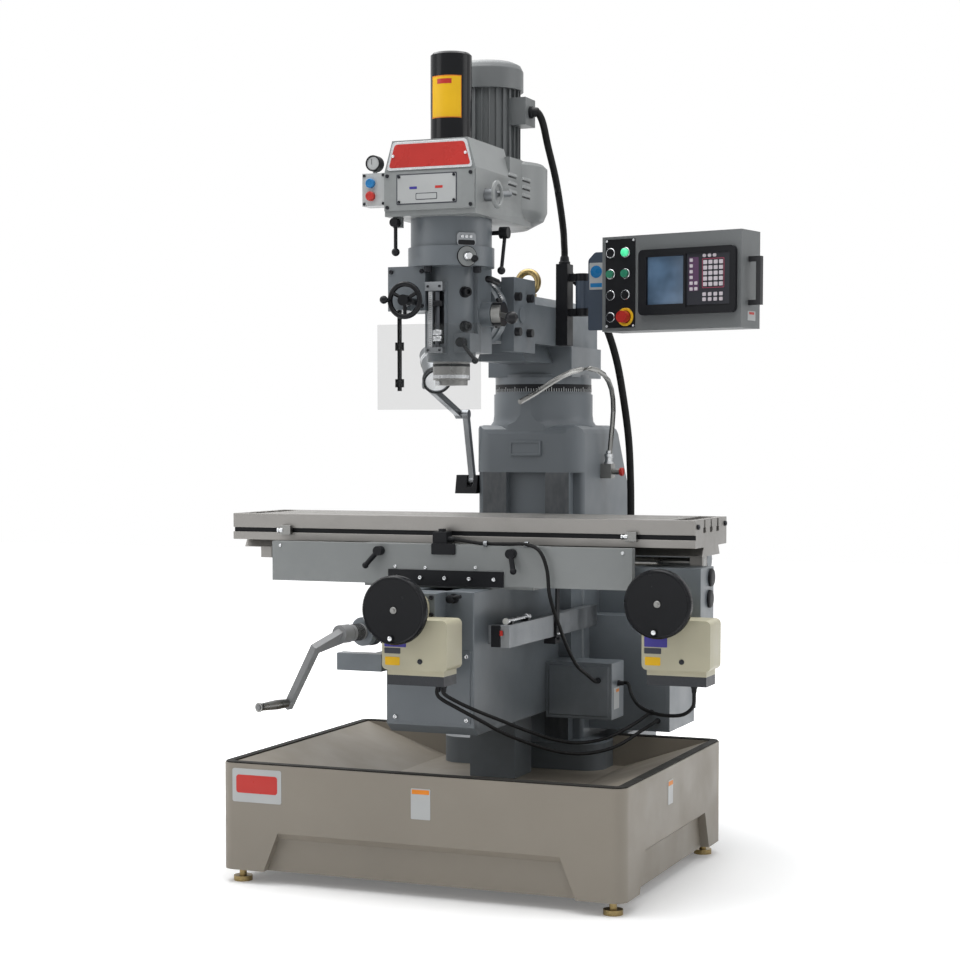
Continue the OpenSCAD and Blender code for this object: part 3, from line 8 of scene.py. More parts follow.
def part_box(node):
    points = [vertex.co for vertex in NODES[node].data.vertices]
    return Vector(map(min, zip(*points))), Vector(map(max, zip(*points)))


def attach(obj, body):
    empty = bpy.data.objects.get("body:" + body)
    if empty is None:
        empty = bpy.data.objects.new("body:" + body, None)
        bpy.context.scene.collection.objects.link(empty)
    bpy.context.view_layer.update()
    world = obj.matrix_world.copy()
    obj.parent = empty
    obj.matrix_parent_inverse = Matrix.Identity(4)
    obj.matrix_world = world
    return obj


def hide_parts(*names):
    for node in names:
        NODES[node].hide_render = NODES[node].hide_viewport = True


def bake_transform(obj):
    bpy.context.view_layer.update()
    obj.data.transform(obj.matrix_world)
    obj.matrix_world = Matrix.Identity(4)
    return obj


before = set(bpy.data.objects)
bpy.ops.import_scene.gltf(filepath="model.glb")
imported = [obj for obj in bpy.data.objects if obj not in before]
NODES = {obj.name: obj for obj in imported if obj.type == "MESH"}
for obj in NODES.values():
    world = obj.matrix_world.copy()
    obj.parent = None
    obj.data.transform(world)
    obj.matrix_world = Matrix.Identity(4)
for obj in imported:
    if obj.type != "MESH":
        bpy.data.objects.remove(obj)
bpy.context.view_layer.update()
MM = 0.001
# FRONT is the way that the operator's side faces
FRONT, BACK, LEFT, RIGHT = (0, -1, 0), (0, 1, 0), (-1, 0, 0), (1, 0, 0)
UP, DOWN = (0, 0, 1), (0, 0, -1)


# Shader nodes

def add_node(tree, kind, inputs, **settings):
    """A shader node with its settings, and its inputs set to plain values or linked to outputs."""
    node = tree.nodes.new("ShaderNode" + kind)
    for name, value in settings.items():
        setattr(node, name, value)
    for socket, value in inputs.items():
        if isinstance(value, bpy.types.NodeSocket):
            tree.links.new(value, node.inputs[socket])
        else:
            node.inputs[socket].default_value = value
    return node


class Look:
    """A principled material and short ways to add nodes to it."""

    def __init__(self, name, rough=0.5, metallic=0.0, **sockets):
        self.material = bpy.data.materials.new(name)
        self.material.use_nodes = True
        self.tree = self.material.node_tree
        self.shader = self.tree.nodes["Principled BSDF"]
        self.rough = rough
        self.shader.inputs["Roughness"].default_value = rough
        self.shader.inputs["Metallic"].default_value = metallic
        for socket, value in sockets.items():
            self.shader.inputs[socket.replace("_", " ")].default_value = value
        self.place = self.add("TexCoord", {}).outputs["Object"]

    def add(self, kind, inputs, **settings):
        return add_node(self.tree, kind, inputs, **settings)

    def link(self, output, socket):
        """Links an output to one of the shader's own sockets."""
        self.tree.links.new(output, self.shader.inputs[socket])

    def noise(self, scale, detail=3.0, stretch=None):
        place = self.place
        if stretch:
            place = self.add("Mapping", {"Scale": stretch, "Vector": place}).outputs[0]
        return self.add("TexNoise", {"Scale": scale, "Detail": detail, "Vector": place}).outputs["Fac"]

    def ramp(self, factor, low, high):
        node = self.add("ValToRGB", {"Fac": factor})
        for element, place, colour in zip(node.color_ramp.elements, (0.3, 0.7), (low, high)):
            element.position = place
            element.color = colour
        return node.outputs["Color"]

    def tones(self, factor, colour, low, high):
        """A colour at two brightnesses, and between them along a factor."""
        return self.ramp(factor, shade(colour, low), shade(colour, high))

    def span(self, factor, low, high, at=(0.3, 0.7)):
        inputs = {"Value": factor, "From Min": at[0], "From Max": at[1], "To Min": low, "To Max": high}
        return self.add("MapRange", inputs).outputs["Result"]

    def math(self, operation, a, b):
        return self.add("Math", {0: a, 1: b}, operation=operation).outputs[0]

    def mix(self, factor, a, b):
        """Colour a where factor is 0 and b where it is 1."""
        return self.add("Mix", {"Factor": factor, 6: a, 7: b}, data_type="RGBA").outputs[2]

    def within(self, axis, low, high):
        """1 where the place's X, Y or Z lies between two values in millimetres."""
        value = self.add("SeparateXYZ", {0: self.place}).outputs[axis]
        return self.math("MULTIPLY", self.math("GREATER_THAN", value, low * MM),
                         self.math("LESS_THAN", value, high * MM))

    def past(self, way, distance):
        """1 where the place lies further along a direction than a distance in millimetres."""
        along = self.add("VectorMath", {0: self.place, 1: way}, operation="DOT_PRODUCT").outputs["Value"]
        return self.math("GREATER_THAN", along, distance * MM)

    def finish(self, colour, change, relief, strength, distance):
        """Links the colour, the change in roughness and a fine relief, and gives the material."""
        scale, less, more = change
        bump = self.add("Bump", {"Height": relief, "Strength": strength, "Distance": distance})
        self.link(colour, "Base Color")
        self.link(self.span(self.noise(scale), self.rough - less, self.rough + more), "Roughness")
        self.link(bump.outputs[0], "Normal")
        return self.material


# Camera, light and floor, in metres

CAMERA_AT, CAMERA_TO = (2.174, -5.309, 1.227), (0.0, 0.0, 0.9)
FOCAL_MM = 76.2
SENSOR_MM = 36.0
SHIFT_Y = 0.0739
VIEW_END = 60.0
PALE = (0.93, 0.93, 0.93, 1.0)
WHITE = (1.0, 1.0, 1.0, 1.0)
SKY = (0.95, 0.975, 1.0, 1.0)
SKY_STRENGTH = 0.3
FLOOR_HALF = 14.0
# Distance from the middle, and how white the floor shows there
FLOOR_NEAR, FLOOR_FAR = (0.9, 0.16), (2.3, 1.0)
# Place, aim, width and depth, and power in watts
LIGHTS = {
    "overhead": ((-0.6, 0.2, 4.6), (0.0, 0.1, 0.8), (4.0, 4.0), 130),
    "left_front": ((-4.2, -3.6, 2.9), (0.0, 0.0, 1.0), (2.6, 2.6), 44),
    "right_back": ((4.4, 1.2, 3.0), (0.0, 0.1, 1.6), (2.4, 2.4), 36),
    "floor_wash": ((0.0, -1.0, 5.4), (0.0, -0.6, 0.0), (7.0, 7.0), 220),
}


def aim(name, data, at, to):
    """A camera or a light, placed at one point and turned to another."""
    thing = bpy.data.objects.new(name, data)
    thing.location = at
    thing.rotation_euler = (Vector(to) - Vector(at)).to_track_quat("-Z", "Y").to_euler()
    bpy.context.scene.collection.objects.link(thing)
    return thing


def make_camera():
    data = bpy.data.cameras.new("camera")
    data.lens = FOCAL_MM
    data.sensor_width = SENSOR_MM
    data.shift_y = SHIFT_Y
    data.clip_end = VIEW_END
    bpy.context.scene.camera = aim("camera", data, CAMERA_AT, CAMERA_TO)


def area_light(name, at, to, size, power):
    data = bpy.data.lights.new(name, "AREA")
    data.shape = "RECTANGLE"
    data.size, data.size_y = size
    data.energy = power
    aim(name, data, at, to)


def seen_rays(tree):
    """1 for rays that show a backdrop, to the eye or in gloss and glass, and 0 for the others."""
    path = add_node(tree, "LightPath", {})
    seen = path.outputs["Is Camera Ray"]
    for ray in ("Is Glossy Ray", "Is Transmission Ray"):
        seen = add_node(tree, "Math", {0: seen, 1: path.outputs[ray]}, operation="MAXIMUM").outputs[0]
    return seen


def make_world():
    """A soft even light, and white where the camera, gloss or glass looks past the object."""
    world = bpy.data.worlds.new("studio")
    bpy.context.scene.world = world
    world.use_nodes = True
    tree = world.node_tree
    tree.nodes.clear()
    soft = add_node(tree, "Background", {"Color": SKY, "Strength": SKY_STRENGTH})
    white = add_node(tree, "Background", {"Color": WHITE, "Strength": 1.0})
    mix = add_node(tree, "MixShader", {"Fac": seen_rays(tree), 1: soft.outputs[0], 2: white.outputs[0]})
    add_node(tree, "OutputWorld", {"Surface": mix.outputs[0]})


def make_floor():
    """A pale floor that keeps the object's shadow and shows white away from it, with no light of its own."""
    mesh = bpy.data.meshes.new("floor")
    corners = [(x * FLOOR_HALF, y * FLOOR_HALF, 0) for x, y in ((-1, -1), (1, -1), (1, 1), (-1, 1))]
    mesh.from_pydata(corners, [], [(0, 1, 2, 3)])
    floor = bpy.data.objects.new("floor", mesh)
    bpy.context.scene.collection.objects.link(floor)
    look = Look("floor_paper", 0.9, Specular_IOR_Level=0.1, Base_Color=PALE, Emission_Color=PALE)
    away = look.add("VectorMath", {0: look.place}, operation="LENGTH").outputs["Value"]
    glow = look.span(away, FLOOR_NEAR[1], FLOOR_FAR[1], (FLOOR_NEAR[0], FLOOR_FAR[0]))
    look.link(look.math("MULTIPLY", glow, seen_rays(look.tree)), "Emission Strength")
    mesh.materials.append(look.material)


bpy.context.scene.view_settings.view_transform = "Standard"
make_camera()
make_world()
make_floor()
for light_name, light_values in LIGHTS.items():
    area_light(light_name, *light_values)


# Materials

def srgb(*steps):
    """A colour in 0 to 255 steps, as the linear values that a shader takes."""
    return tuple(((c / 255 + 0.055) / 1.055) ** 2.4 if c > 10 else c / 255 / 12.92 for c in steps) + (1.0,)


def shade(colour, factor):
    return tuple(c * factor for c in colour[:3]) + (1.0,)


def paint(name, colour, rough=0.42):
    """Enamel over iron: slow changes of tone, orange peel, and a paler tone where the edges are worn."""
    look = Look(name, rough, Specular_IOR_Level=0.45)
    tone = look.tones(look.noise(2.6, 4.0), colour, 0.93, 1.05)
    edge = look.span(look.add("NewGeometry", {}).outputs["Pointiness"], 0.0, 1.0, (0.53, 0.60))
    worn = look.math("MULTIPLY", edge, look.span(look.noise(38.0), 0.0, 0.5))
    tone = look.mix(worn, tone, shade(colour, 1.28))
    return look.finish(tone, (9.0, 0.06, 0.09), look.noise(420.0, 2.0), 0.1, 0.0006)


def metal(name, colour, rough=0.32, stretch=(1, 1, 1)):
    """Bare metal with fine machining lines along one direction."""
    look = Look(name, rough, 1.0)
    lines = look.noise(240.0, 3.0, stretch)
    return look.finish(look.tones(lines, colour, 0.86, 1.08), (14.0, 0.06, 0.12), lines, 0.06, 0.0004)


def plastic(name, colour, rough=0.4, grain=0.06, gloss=0.3):
    """Moulded plastic with a fine grain and a slight change of gloss."""
    look = Look(name, rough, Specular_IOR_Level=gloss)
    tone = look.tones(look.noise(5.0), colour, 0.90, 1.10)
    return look.finish(tone, (22.0, 0.07, 0.10), look.noise(700.0, 2.0), grain, 0.0005)


def two_tone(name, colour, other, where, rough=0.36, gloss=0.3, bare=False, alpha=1.0):
    """One finish, which may be clear, and another where a mask says so, which may be bare metal."""
    look = Look(name, rough, Specular_IOR_Level=gloss)
    mask = where(look)
    first = look.tones(look.noise(5.0), colour, 0.92, 1.08)
    second = look.tones(look.noise(240.0, 3.0, (1, 30, 1)), other, 0.86, 1.10)
    if bare:
        look.link(mask, "Metallic")
    if alpha < 1.0:
        look.link(look.span(mask, alpha, 1.0, (0.0, 1.0)), "Alpha")
    tone = look.mix(mask, first, second)
    return look.finish(tone, (20.0, 0.06, 0.10), look.noise(500.0, 2.0), 0.06, 0.0005)


def lit(name, colour, strength, rough=0.3, scale=30.0, change=0.1):
    """A pane or lens that gives some light of its own."""
    look = Look(name, rough, Emission_Strength=strength)
    tone = look.tones(look.noise(scale), colour, 1.0 - change, 1.0 + change)
    look.link(tone, "Base Color")
    look.link(tone, "Emission Color")
    return look.material


CASTING = srgb(104, 110, 115)
CONSOLE = srgb(108, 111, 112)
SLATE = srgb(62, 72, 86)
CREAM = srgb(182, 177, 154)
BLACK = srgb(24, 25, 28)
STEEL = srgb(132, 132, 130)

CASTING_PAINT = paint("casting_paint", CASTING, 0.36)
LIGHT_PAINT = paint("light_paint", srgb(133, 136, 136), 0.38)
PAN_PAINT = paint("pan_paint", srgb(136, 129, 118), 0.48)
CRANK_PAINT = paint("crank_paint", srgb(122, 123, 124))
MOTOR_PAINT = paint("motor_paint", srgb(98, 101, 102))
SLATE_PAINT = paint("slate_paint", SLATE)
BLACK_GLOSS = plastic("black_gloss", srgb(20, 21, 24), 0.18, 0.01, 0.16)
SATIN = plastic("black_satin", BLACK, 0.42, 0.06, 0.16)
RUBBER = plastic("rubber", srgb(24, 24, 25), 0.62, 0.14, 0.16)
TRIM_RUBBER = plastic("trim_rubber", srgb(44, 43, 41), 0.7, 0.2, 0.16)
GREEN = plastic("green_plastic", srgb(42, 128, 98), 0.3)
RED = plastic("red_plastic", srgb(186, 50, 44), 0.3)
BLUE = plastic("blue_plastic", srgb(36, 118, 176), 0.3)
YELLOW = plastic("yellow_plastic", srgb(232, 182, 28), 0.45)
ORANGE = plastic("orange_label", srgb(222, 132, 40), 0.45)
DARK_LABEL = plastic("dark_label", srgb(52, 54, 62), 0.4)
KEY_FIELD = plastic("key_field", srgb(34, 35, 42), 0.45)
ROSE = plastic("rose_field", srgb(150, 62, 84), 0.45)
MAUVE = plastic("mauve_field", srgb(82, 56, 84), 0.45)
KEY_CAP = plastic("key_cap", srgb(196, 188, 194), 0.4)
PURPLE = plastic("purple_label", srgb(62, 56, 140), 0.4)
WHITE_PLATE = plastic("white_plate", srgb(178, 180, 180), 0.35)
SILVER = metal("silver", srgb(196, 198, 200), 0.24)
STEEL_TURNED = metal("steel_turned", STEEL, 0.28, (1, 1, 30))
STEEL_GROUND = metal("steel_ground", srgb(136, 134, 131), 0.42, (1, 40, 40))
DARK_STEEL = metal("dark_steel", srgb(70, 72, 76), 0.4, (1, 1, 30))
ALUMINIUM = metal("aluminium", srgb(132, 135, 138), 0.4, (30, 1, 30))
ZINC = metal("yellow_zinc", srgb(150, 132, 92), 0.34)
BLACK_SCREW = metal("black_screw", srgb(46, 47, 50), 0.4)
SCREEN = lit("screen", srgb(92, 118, 146), 0.14, 0.2, 7.0, 0.5)
GLOW = lit("green_lens", srgb(70, 214, 150), 0.7)
LENS = lit("lamp_lens", srgb(232, 234, 236), 0.5)


# Finishes of the CAD nodes, with places in millimetres

# The bare ways: their span in Z, and a thin one in Y about their face
WAY_HEIGHT, WAY_FACE = (320, 1116), (358, 360)


def way_paint():
    """The column: enamel, with bare dark ground faces on its vertical ways."""
    look = Look("column_paint", 0.42, Specular_IOR_Level=0.45)
    tone = look.tones(look.noise(2.6, 4.0), CASTING, 0.93, 1.05)
    scraped = look.ramp(look.noise(60.0, 2.0, (1, 1, 0.4)), srgb(66, 69, 72), srgb(84, 87, 90))
    face = look.math("MULTIPLY", look.within("Z", *WAY_HEIGHT), look.within("Y", *WAY_FACE))
    tone = look.mix(face, tone, scraped)
    return look.finish(tone, (9.0, 0.06, 0.08), look.noise(420.0, 2.0), 0.1, 0.0006)


CONSOLE_TURN = math.radians(-12.4)
CONSOLE_AT = Vector((271, 267, 1524))
CONSOLE_RIGHT = Vector((math.cos(CONSOLE_TURN), math.sin(CONSOLE_TURN), 0.0))
CONSOLE_W = 447


def console_look():
    """Sanded enamel on the box, slate on its arm and black on its handle."""
    look = Look("console_paint", 0.5, Specular_IOR_Level=0.4)
    left = CONSOLE_AT.dot(CONSOLE_RIGHT)
    tone = look.tones(look.noise(2.6, 4.0), CONSOLE, 0.94, 1.05)
    tone = look.mix(look.past(-CONSOLE_RIGHT, 0.5 - left), tone, SLATE)
    tone = look.mix(look.past(CONSOLE_RIGHT, left + CONSOLE_W + 0.5), tone, BLACK)
    return look.finish(tone, (9.0, 0.08, 0.08), look.noise(900.0, 2.0), 0.2, 0.0006)


# The guard's rod in X, and the sheet's back in Y
GUARD_ROD, GUARD_BACK = (-112.5, -87.5), -328.9
SHEET_TINT, SHEET_ALPHA = srgb(70, 73, 73), 0.14
RAM_SIDE = 100.5
LEVER_HUB = (-280, -190)
# The top of each feed unit's foot in Z, and the front of each dial in Y
UNIT_LIP, DIAL_FRONT = {"x": 605, "y": 604}, {"x": -312, "y": -552}


def guard_rod(look):
    return look.math("MULTIPLY", look.within("X", *GUARD_ROD), look.past(BACK, GUARD_BACK))


def ram_bolts(look):
    return look.math("MAXIMUM", look.past(RIGHT, RAM_SIDE), look.past(LEFT, RAM_SIDE))


def lever_hub(look):
    return look.math("MULTIPLY", look.past(FRONT, -LEVER_HUB[1]), look.past(BACK, LEVER_HUB[0]))


def feed_unit(axis):
    """Cream plastic with a dark foot."""
    return two_tone(axis + "_feed_plastic", CREAM, srgb(44, 46, 50),
                    lambda look: look.past(DOWN, -UNIT_LIP[axis]), 0.38)


def handwheel(axis):
    """Black plastic with a bare steel dial behind it."""
    return two_tone(axis + "_wheel_black", srgb(22, 23, 26), STEEL,
                    lambda look: look.past(BACK, DIAL_FRONT[axis]), 0.24, 0.12, True)


NODE_LOOKS = {
    CASTING_PAINT: "screw_pedestal electrical_cabinet cabinet_door knee y_bearing_bracket crank_bracket "
                   "x_gearbox turret knuckle head_casting junction_box",
    PAN_PAINT: "base_pan",
    LIGHT_PAINT: "belt_housing saddle",
    CRANK_PAINT: "knee_crank",
    MOTOR_PAINT: "motor",
    ZINC: "levelling_feet lifting_eye",
    STEEL_TURNED: "elevating_screw x_screw trip_dogs quill spindle crank_grip coolant_hose",
    STEEL_GROUND: "table",
    ALUMINIUM: "lamp_lower_arm lamp_upper_arm lamp_head y_scale brake_lever",
    BLACK_GLOSS: "drawbar_cover feed_handwheel",
    SATIN: "lamp_base limit_switch way_cover table_lock_left table_lock_right console_post "
           "console_display speed_lever gear_lever quill_lock",
    WHITE_PLATE: "drawbar_switch",
    GREEN: "start_button coolant_button",
    RED: "emergency_stop",
    two_tone("clear_sheet", SHEET_TINT, BLACK, guard_rod, 0.16, alpha=SHEET_ALPHA): "splash_guard",
    way_paint(): "column",
    console_look(): "console_box",
    two_tone("ram_paint", CASTING, BLACK, ram_bolts, 0.44): "ram",
    feed_unit("y"): "y_feed_unit",
    handwheel("y"): "y_handwheel",
    feed_unit("x"): "x_feed_unit",
    handwheel("x"): "x_handwheel",
    two_tone("lever_black", BLACK, STEEL, lever_hub, 0.34, 0.2, True): "quill_lever",
}
# How far each node's edges are rounded, in millimetres
EASE = {"base_pan": 6.0, "column": 4.0, "knee": 3.0, "saddle": 2.0, "ram": 4.0, "turret": 3.0,
        "belt_housing": 8.0, "knee_crank": 5.0, "crank_bracket": 3.0, "junction_box": 2.0,
        "head_casting": 2.5, "console_box": 3.0, "x_feed_unit": 3.0, "y_feed_unit": 3.0,
        "electrical_cabinet": 2.0}
EASE_OTHERS = 1.2
# Edges that turn by more degrees than this are rounded
NODE_ANGLE, PIECE_ANGLE = 40, 35
# Corners closer than this, in millimetres, are joined
WELD_GAP = 0.02


def round_edges(thing, width, least_angle):
    bevel = thing.modifiers.new("ease", "BEVEL")
    bevel.width = width * MM
    bevel.segments = 2
    bevel.limit_method = "ANGLE"
    bevel.angle_limit = math.radians(least_angle)


def dress_nodes():
    """Each CAD node gets its material, and eased edges that catch the light."""
    for material, names in NODE_LOOKS.items():
        for name in names.split():
            node = NODES[name]
            node.data.materials.clear()
            node.data.materials.append(material)
            weld = node.modifiers.new("weld", "WELD")
            weld.merge_threshold = WELD_GAP * MM
            round_edges(node, EASE.get(name, EASE_OTHERS), NODE_ANGLE)
            normals = node.modifiers.new("normals", "WEIGHTED_NORMAL")
            normals.keep_sharp = True


dress_nodes()


# Shapes, with sizes in millimetres

# Places for outlines that are given in Y and Z, or in X and Z
IN_YZ = Matrix(((0, 0, 1, 0), (1, 0, 0, 0), (0, 1, 0, 0), (0, 0, 0, 1)))
IN_XZ = Matrix(((1, 0, 0, 0), (0, 0, 1, 0), (0, 1, 0, 0), (0, 0, 0, 1)))


def add_piece(name, bm, material, body, ease=0.0, smooth=False):
    """A finished mesh becomes a piece that rides on a body, if one is named."""
    bmesh.ops.recalc_face_normals(bm, faces=bm.faces)
    mesh = bpy.data.meshes.new(name)
    bm.transform(Matrix.Scale(MM, 4))
    bm.to_mesh(mesh)
    bm.free()
    for face in mesh.polygons:
        face.use_smooth = smooth
    mesh.materials.append(material)
    piece = bpy.data.objects.new(name, mesh)
    bpy.context.scene.collection.objects.link(piece)
    if ease:
        round_edges(piece, ease, PIECE_ANGLE)
    if body:
        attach(piece, body)
    return piece


def skin(bm, rings, ends=True):
    """Faces between each ring of corners and the next, and over both ends."""
    count = len(rings[0])
    for low, high in zip(rings, rings[1:]):
        for i in range(count):
            j = (i + 1) % count
            bm.faces.new((low[i], low[j], high[j], high[i]))
    if ends:
        bm.faces.new(rings[0][::-1])
        bm.faces.new(rings[-1])


def circle(sides):
    return [2 * math.pi * k / sides for k in range(sides)]


def around(degrees, r=1.0):
    """A level way at an angle from X, as long as r."""
    a = math.radians(degrees)
    return Vector((r * math.cos(a), r * math.sin(a), 0))


def add_outline(bm, outline, low, high, place=Matrix()):
    """A flat outline in X and Y, drawn out from low to high along Z, then placed."""
    skin(bm, [[bm.verts.new(place @ Vector((x, y, z))) for x, y in outline] for z in (low, high)])


def add_lathe(bm, profile, place=Matrix(), sides=32):
    """A profile of radius and height pairs, turned about Z, then placed."""
    rings = []
    for r, z in profile:
        turns = circle(sides) if r > 0.01 else [0.0]
        rings.append([bm.verts.new(place @ Vector((r * math.cos(a), r * math.sin(a), z))) for a in turns])
    for low, high in zip(rings, rings[1:]):
        for k in range(sides):
            j = (k + 1) % sides
            corners = [low[k % len(low)], low[j % len(low)], high[j % len(high)], high[k % len(high)]]
            unique = list(dict.fromkeys(corners))
            if len(unique) > 2:
                bm.faces.new(unique)


def rounded(w, h, r, steps=5):
    """The corners of a rounded rectangle about the origin."""
    points = []
    for cx, cy, start in ((1, 1, 0), (-1, 1, 90), (-1, -1, 180), (1, -1, 270)):
        for k in range(steps + 1):
            a = math.radians(start + 90 * k / steps)
            points.append((cx * (w / 2 - r) + r * math.cos(a), cy * (h / 2 - r) + r * math.sin(a)))
    return points


def corner_cut(points, r, steps=4):
    """The same outline with its corners rounded."""
    path = []
    points = [Vector(p) for p in points]
    for before, p, after in zip(points[-1:] + points, points, points[1:] + points[:1]):
        a, b = (p + (q - p).normalized() * r for q in (before, after))
        for k in range(steps + 1):
            t = k / steps
            path.append((1 - t) ** 2 * a + 2 * t * (1 - t) * p + t * t * b)
    return path


def facing(at, out):
    """A place at a point, with Z along out and Y close to up, or to the back where out is upright."""
    z = Vector(out).normalized()
    up = Vector(UP) if abs(z.z) < 0.99 else Vector(BACK)
    x = up.cross(z).normalized()
    y = z.cross(x)
    turn = Matrix((x, y, z)).transposed().to_4x4()
    return Matrix.Translation(Vector(at)) @ turn


def slab(name, outline, span, place, material, body, ease):
    """A flat outline, drawn out over a span and placed, as a piece."""
    bm = bmesh.new()
    add_outline(bm, outline, *span, place)
    add_piece(name, bm, material, body, ease)


def plate(name, at, out, size, thick, material, body, corner=2.0, ease=0.4, sink=0.4):
    """A thin rounded plate on a face: its back is sunk a little into what carries it."""
    slab(name, rounded(size[0], size[1], corner), (-sink, thick), facing(at, out), material, body, ease)


SCREW = ((0, -0.5), (1.0, -0.5), (1.0, 0.62), (0.86, 0.8), (0.52, 0.8), (0.46, 0.3), (0, 0.3))


def screws(name, points, out, r, material, body):
    """Cap screws with a socket in each head, as one piece."""
    bm = bmesh.new()
    for at in points:
        add_lathe(bm, [(a * r, b * r) for a, b in SCREW], facing(at, out), 14)
    add_piece(name, bm, material, body, 0.0, True)


def front_screws(name, xs, y, zs, r, material, body):
    """Cap screws in rows on a face that looks to the front."""
    screws(name, [(x, y, z) for x in xs for z in zs], FRONT, r, material, body)


def split_edges(piece, degrees=30):
    """The shading breaks at edges that turn by more than an angle."""
    piece.modifiers.new("split", "EDGE_SPLIT").split_angle = math.radians(degrees)


def turned(name, at, out, profile, material, body, sides=36):
    """A profile turned about a line that starts at a point."""
    bm = bmesh.new()
    add_lathe(bm, profile, facing(at, out), sides)
    split_edges(add_piece(name, bm, material, body, 0.0, True), 38)


def tube(name, path, r, material, body=None, sides=12):
    """A round tube along a path, with frames carried along it so that it doesn't twist."""
    bm = bmesh.new()
    rings = []
    path = [Vector(p) for p in path]
    across = (path[1] - path[0]).orthogonal()
    for i, p in enumerate(path):
        way = (path[min(i + 1, len(path) - 1)] - path[max(i - 1, 0)]).normalized()
        across = (across - way * across.dot(way)).normalized()
        side = way.cross(across)
        rings.append([bm.verts.new(p + r * (across * math.cos(a) + side * math.sin(a)))
                      for a in circle(sides)])
    skin(bm, rings)
    return add_piece(name, bm, material, body, 0.0, True)


BAND_SINK = 0.6


def arc_band(bm, at, r, turns, along, lift, axis="Z", steps=24):
    """A thin band on part of a round face: turns in degrees, along its axis, lifted off the face."""
    rows = []
    for k in range(steps + 1):
        way = around(turns[0] + (turns[1] - turns[0]) * k / steps)
        row = []
        for s, d in ((along[0], -BAND_SINK), (along[0], lift), (along[1], lift), (along[1], -BAND_SINK)):
            x, y = way.x * (r + d), way.y * (r + d)
            row.append(bm.verts.new(Vector(at) + Vector((x, y, s) if axis == "Z" else (x, s, y))))
        rows.append(row)
    skin(bm, rows)


def band(name, at, r, turns, along, lift, material, body, axis="Z", steps=24):
    """A thin band on part of a round face, as a piece."""
    bm = bmesh.new()
    arc_band(bm, at, r, turns, along, lift, axis, steps)
    split_edges(add_piece(name, bm, material, body, 0.0, True))


def dial(name, at, r, turns, along, axis, body, field, marks, every):
    """A graduated band: a plain field with long and short marks along one edge."""
    thick, mark_thick = 0.6, 0.3
    half, tall, short = 0.14 * every, 0.62, 0.4
    band(name, at, r, turns, along, thick, field, body, axis)
    bm = bmesh.new()
    for i in range(1, int((turns[1] - turns[0]) / every)):
        turn = turns[0] + every * i
        end = along[0] + (along[1] - along[0]) * (short if i % 5 else tall)
        arc_band(bm, at, r + thick, (turn - half, turn + half), (along[0], end), mark_thick, axis, 1)
    add_piece(name + "_marks", bm, marks, body)


# Cords

def smooth_route(points, steps=6):
    """Points along the same smooth curve as the solids follow."""
    path = []
    ends = [Vector(p) for p in points[:1] + points + points[-1:]]
    for a, b, c, d in zip(ends, ends[1:], ends[2:], ends[3:]):
        for j in range(steps):
            t = j / steps
            path.append(b + t * (c - a) / 2 + t * t * (2 * a - 5 * b + 4 * c - d) / 2
                        + t * t * t * (3 * b - a - 3 * c + d) / 2)
    return path + ends[-1:]


def lay_cord(name, node, path, r):
    """A cable laid as a fixed tube along a path, in place of its CAD solid."""
    piece = tube(name, path, r, RUBBER)
    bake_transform(piece)
    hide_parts(node)


MOTOR_LEAD_R, CONSOLE_LEAD_R, LEAD_R = 10, 11, 5
MOTOR_ROUTE = [(130, 54, 2127), (150, 54, 2127), (160, 72, 2100), (158, 120, 2040), (154, 190, 1965),
               (144, 260, 1890), (130, 326, 1826), (117, 370, 1786), (113, 384, 1767), (113, 384, 1731)]
CONSOLE_ROUTE = [(113, 409, 1700), (113, 433, 1700), (150, 480, 1650), (196, 510, 1560), (222, 540, 1460),
                 (236, 570, 1340), (244, 600, 1210), (246, 614, 1080), (246, 618, 978), (246, 618, 918)]
KNEE_ROUTE_A = [(96, -482, 578), (96, -482, 556), (118, -430, 526), (146, -350, 492), (160, -250, 460),
                (172, -150, 428), (190, -50, 396), (214, 60, 364), (246, 170, 344), (288, 280, 346),
                (334, 380, 374), (366, 431, 402), (366, 455, 402)]
KNEE_ROUTE_B = [(80, -482, 578), (80, -482, 548), (112, -424, 510), (146, -350, 470), (158, -250, 430),
                (176, -150, 394), (204, -50, 360), (236, 60, 330), (274, 170, 316), (314, 280, 322),
                (350, 380, 350), (386, 431, 378), (386, 455, 378)]
SADDLE_ROUTE = [(706, -262, 579), (706, -262, 552), (692, -224, 520), (650, -160, 490), (590, -80, 472),
                (520, 0, 464), (450, 80, 470), (396, 170, 490), (360, 246, 512), (330, 246, 512)]
SWITCH_ROUTE = [(0, -226, 944), (24, -226, 944), (100, -238, 935), (180, -240, 935), (240, -252, 935),
                (280, -264, 918), (300, -264, 870), (306, -258, 800), (306, -190, 720), (302, -110, 650),
                (298, -20, 590), (294, 80, 552), (290, 160, 524), (290, 187, 524)]


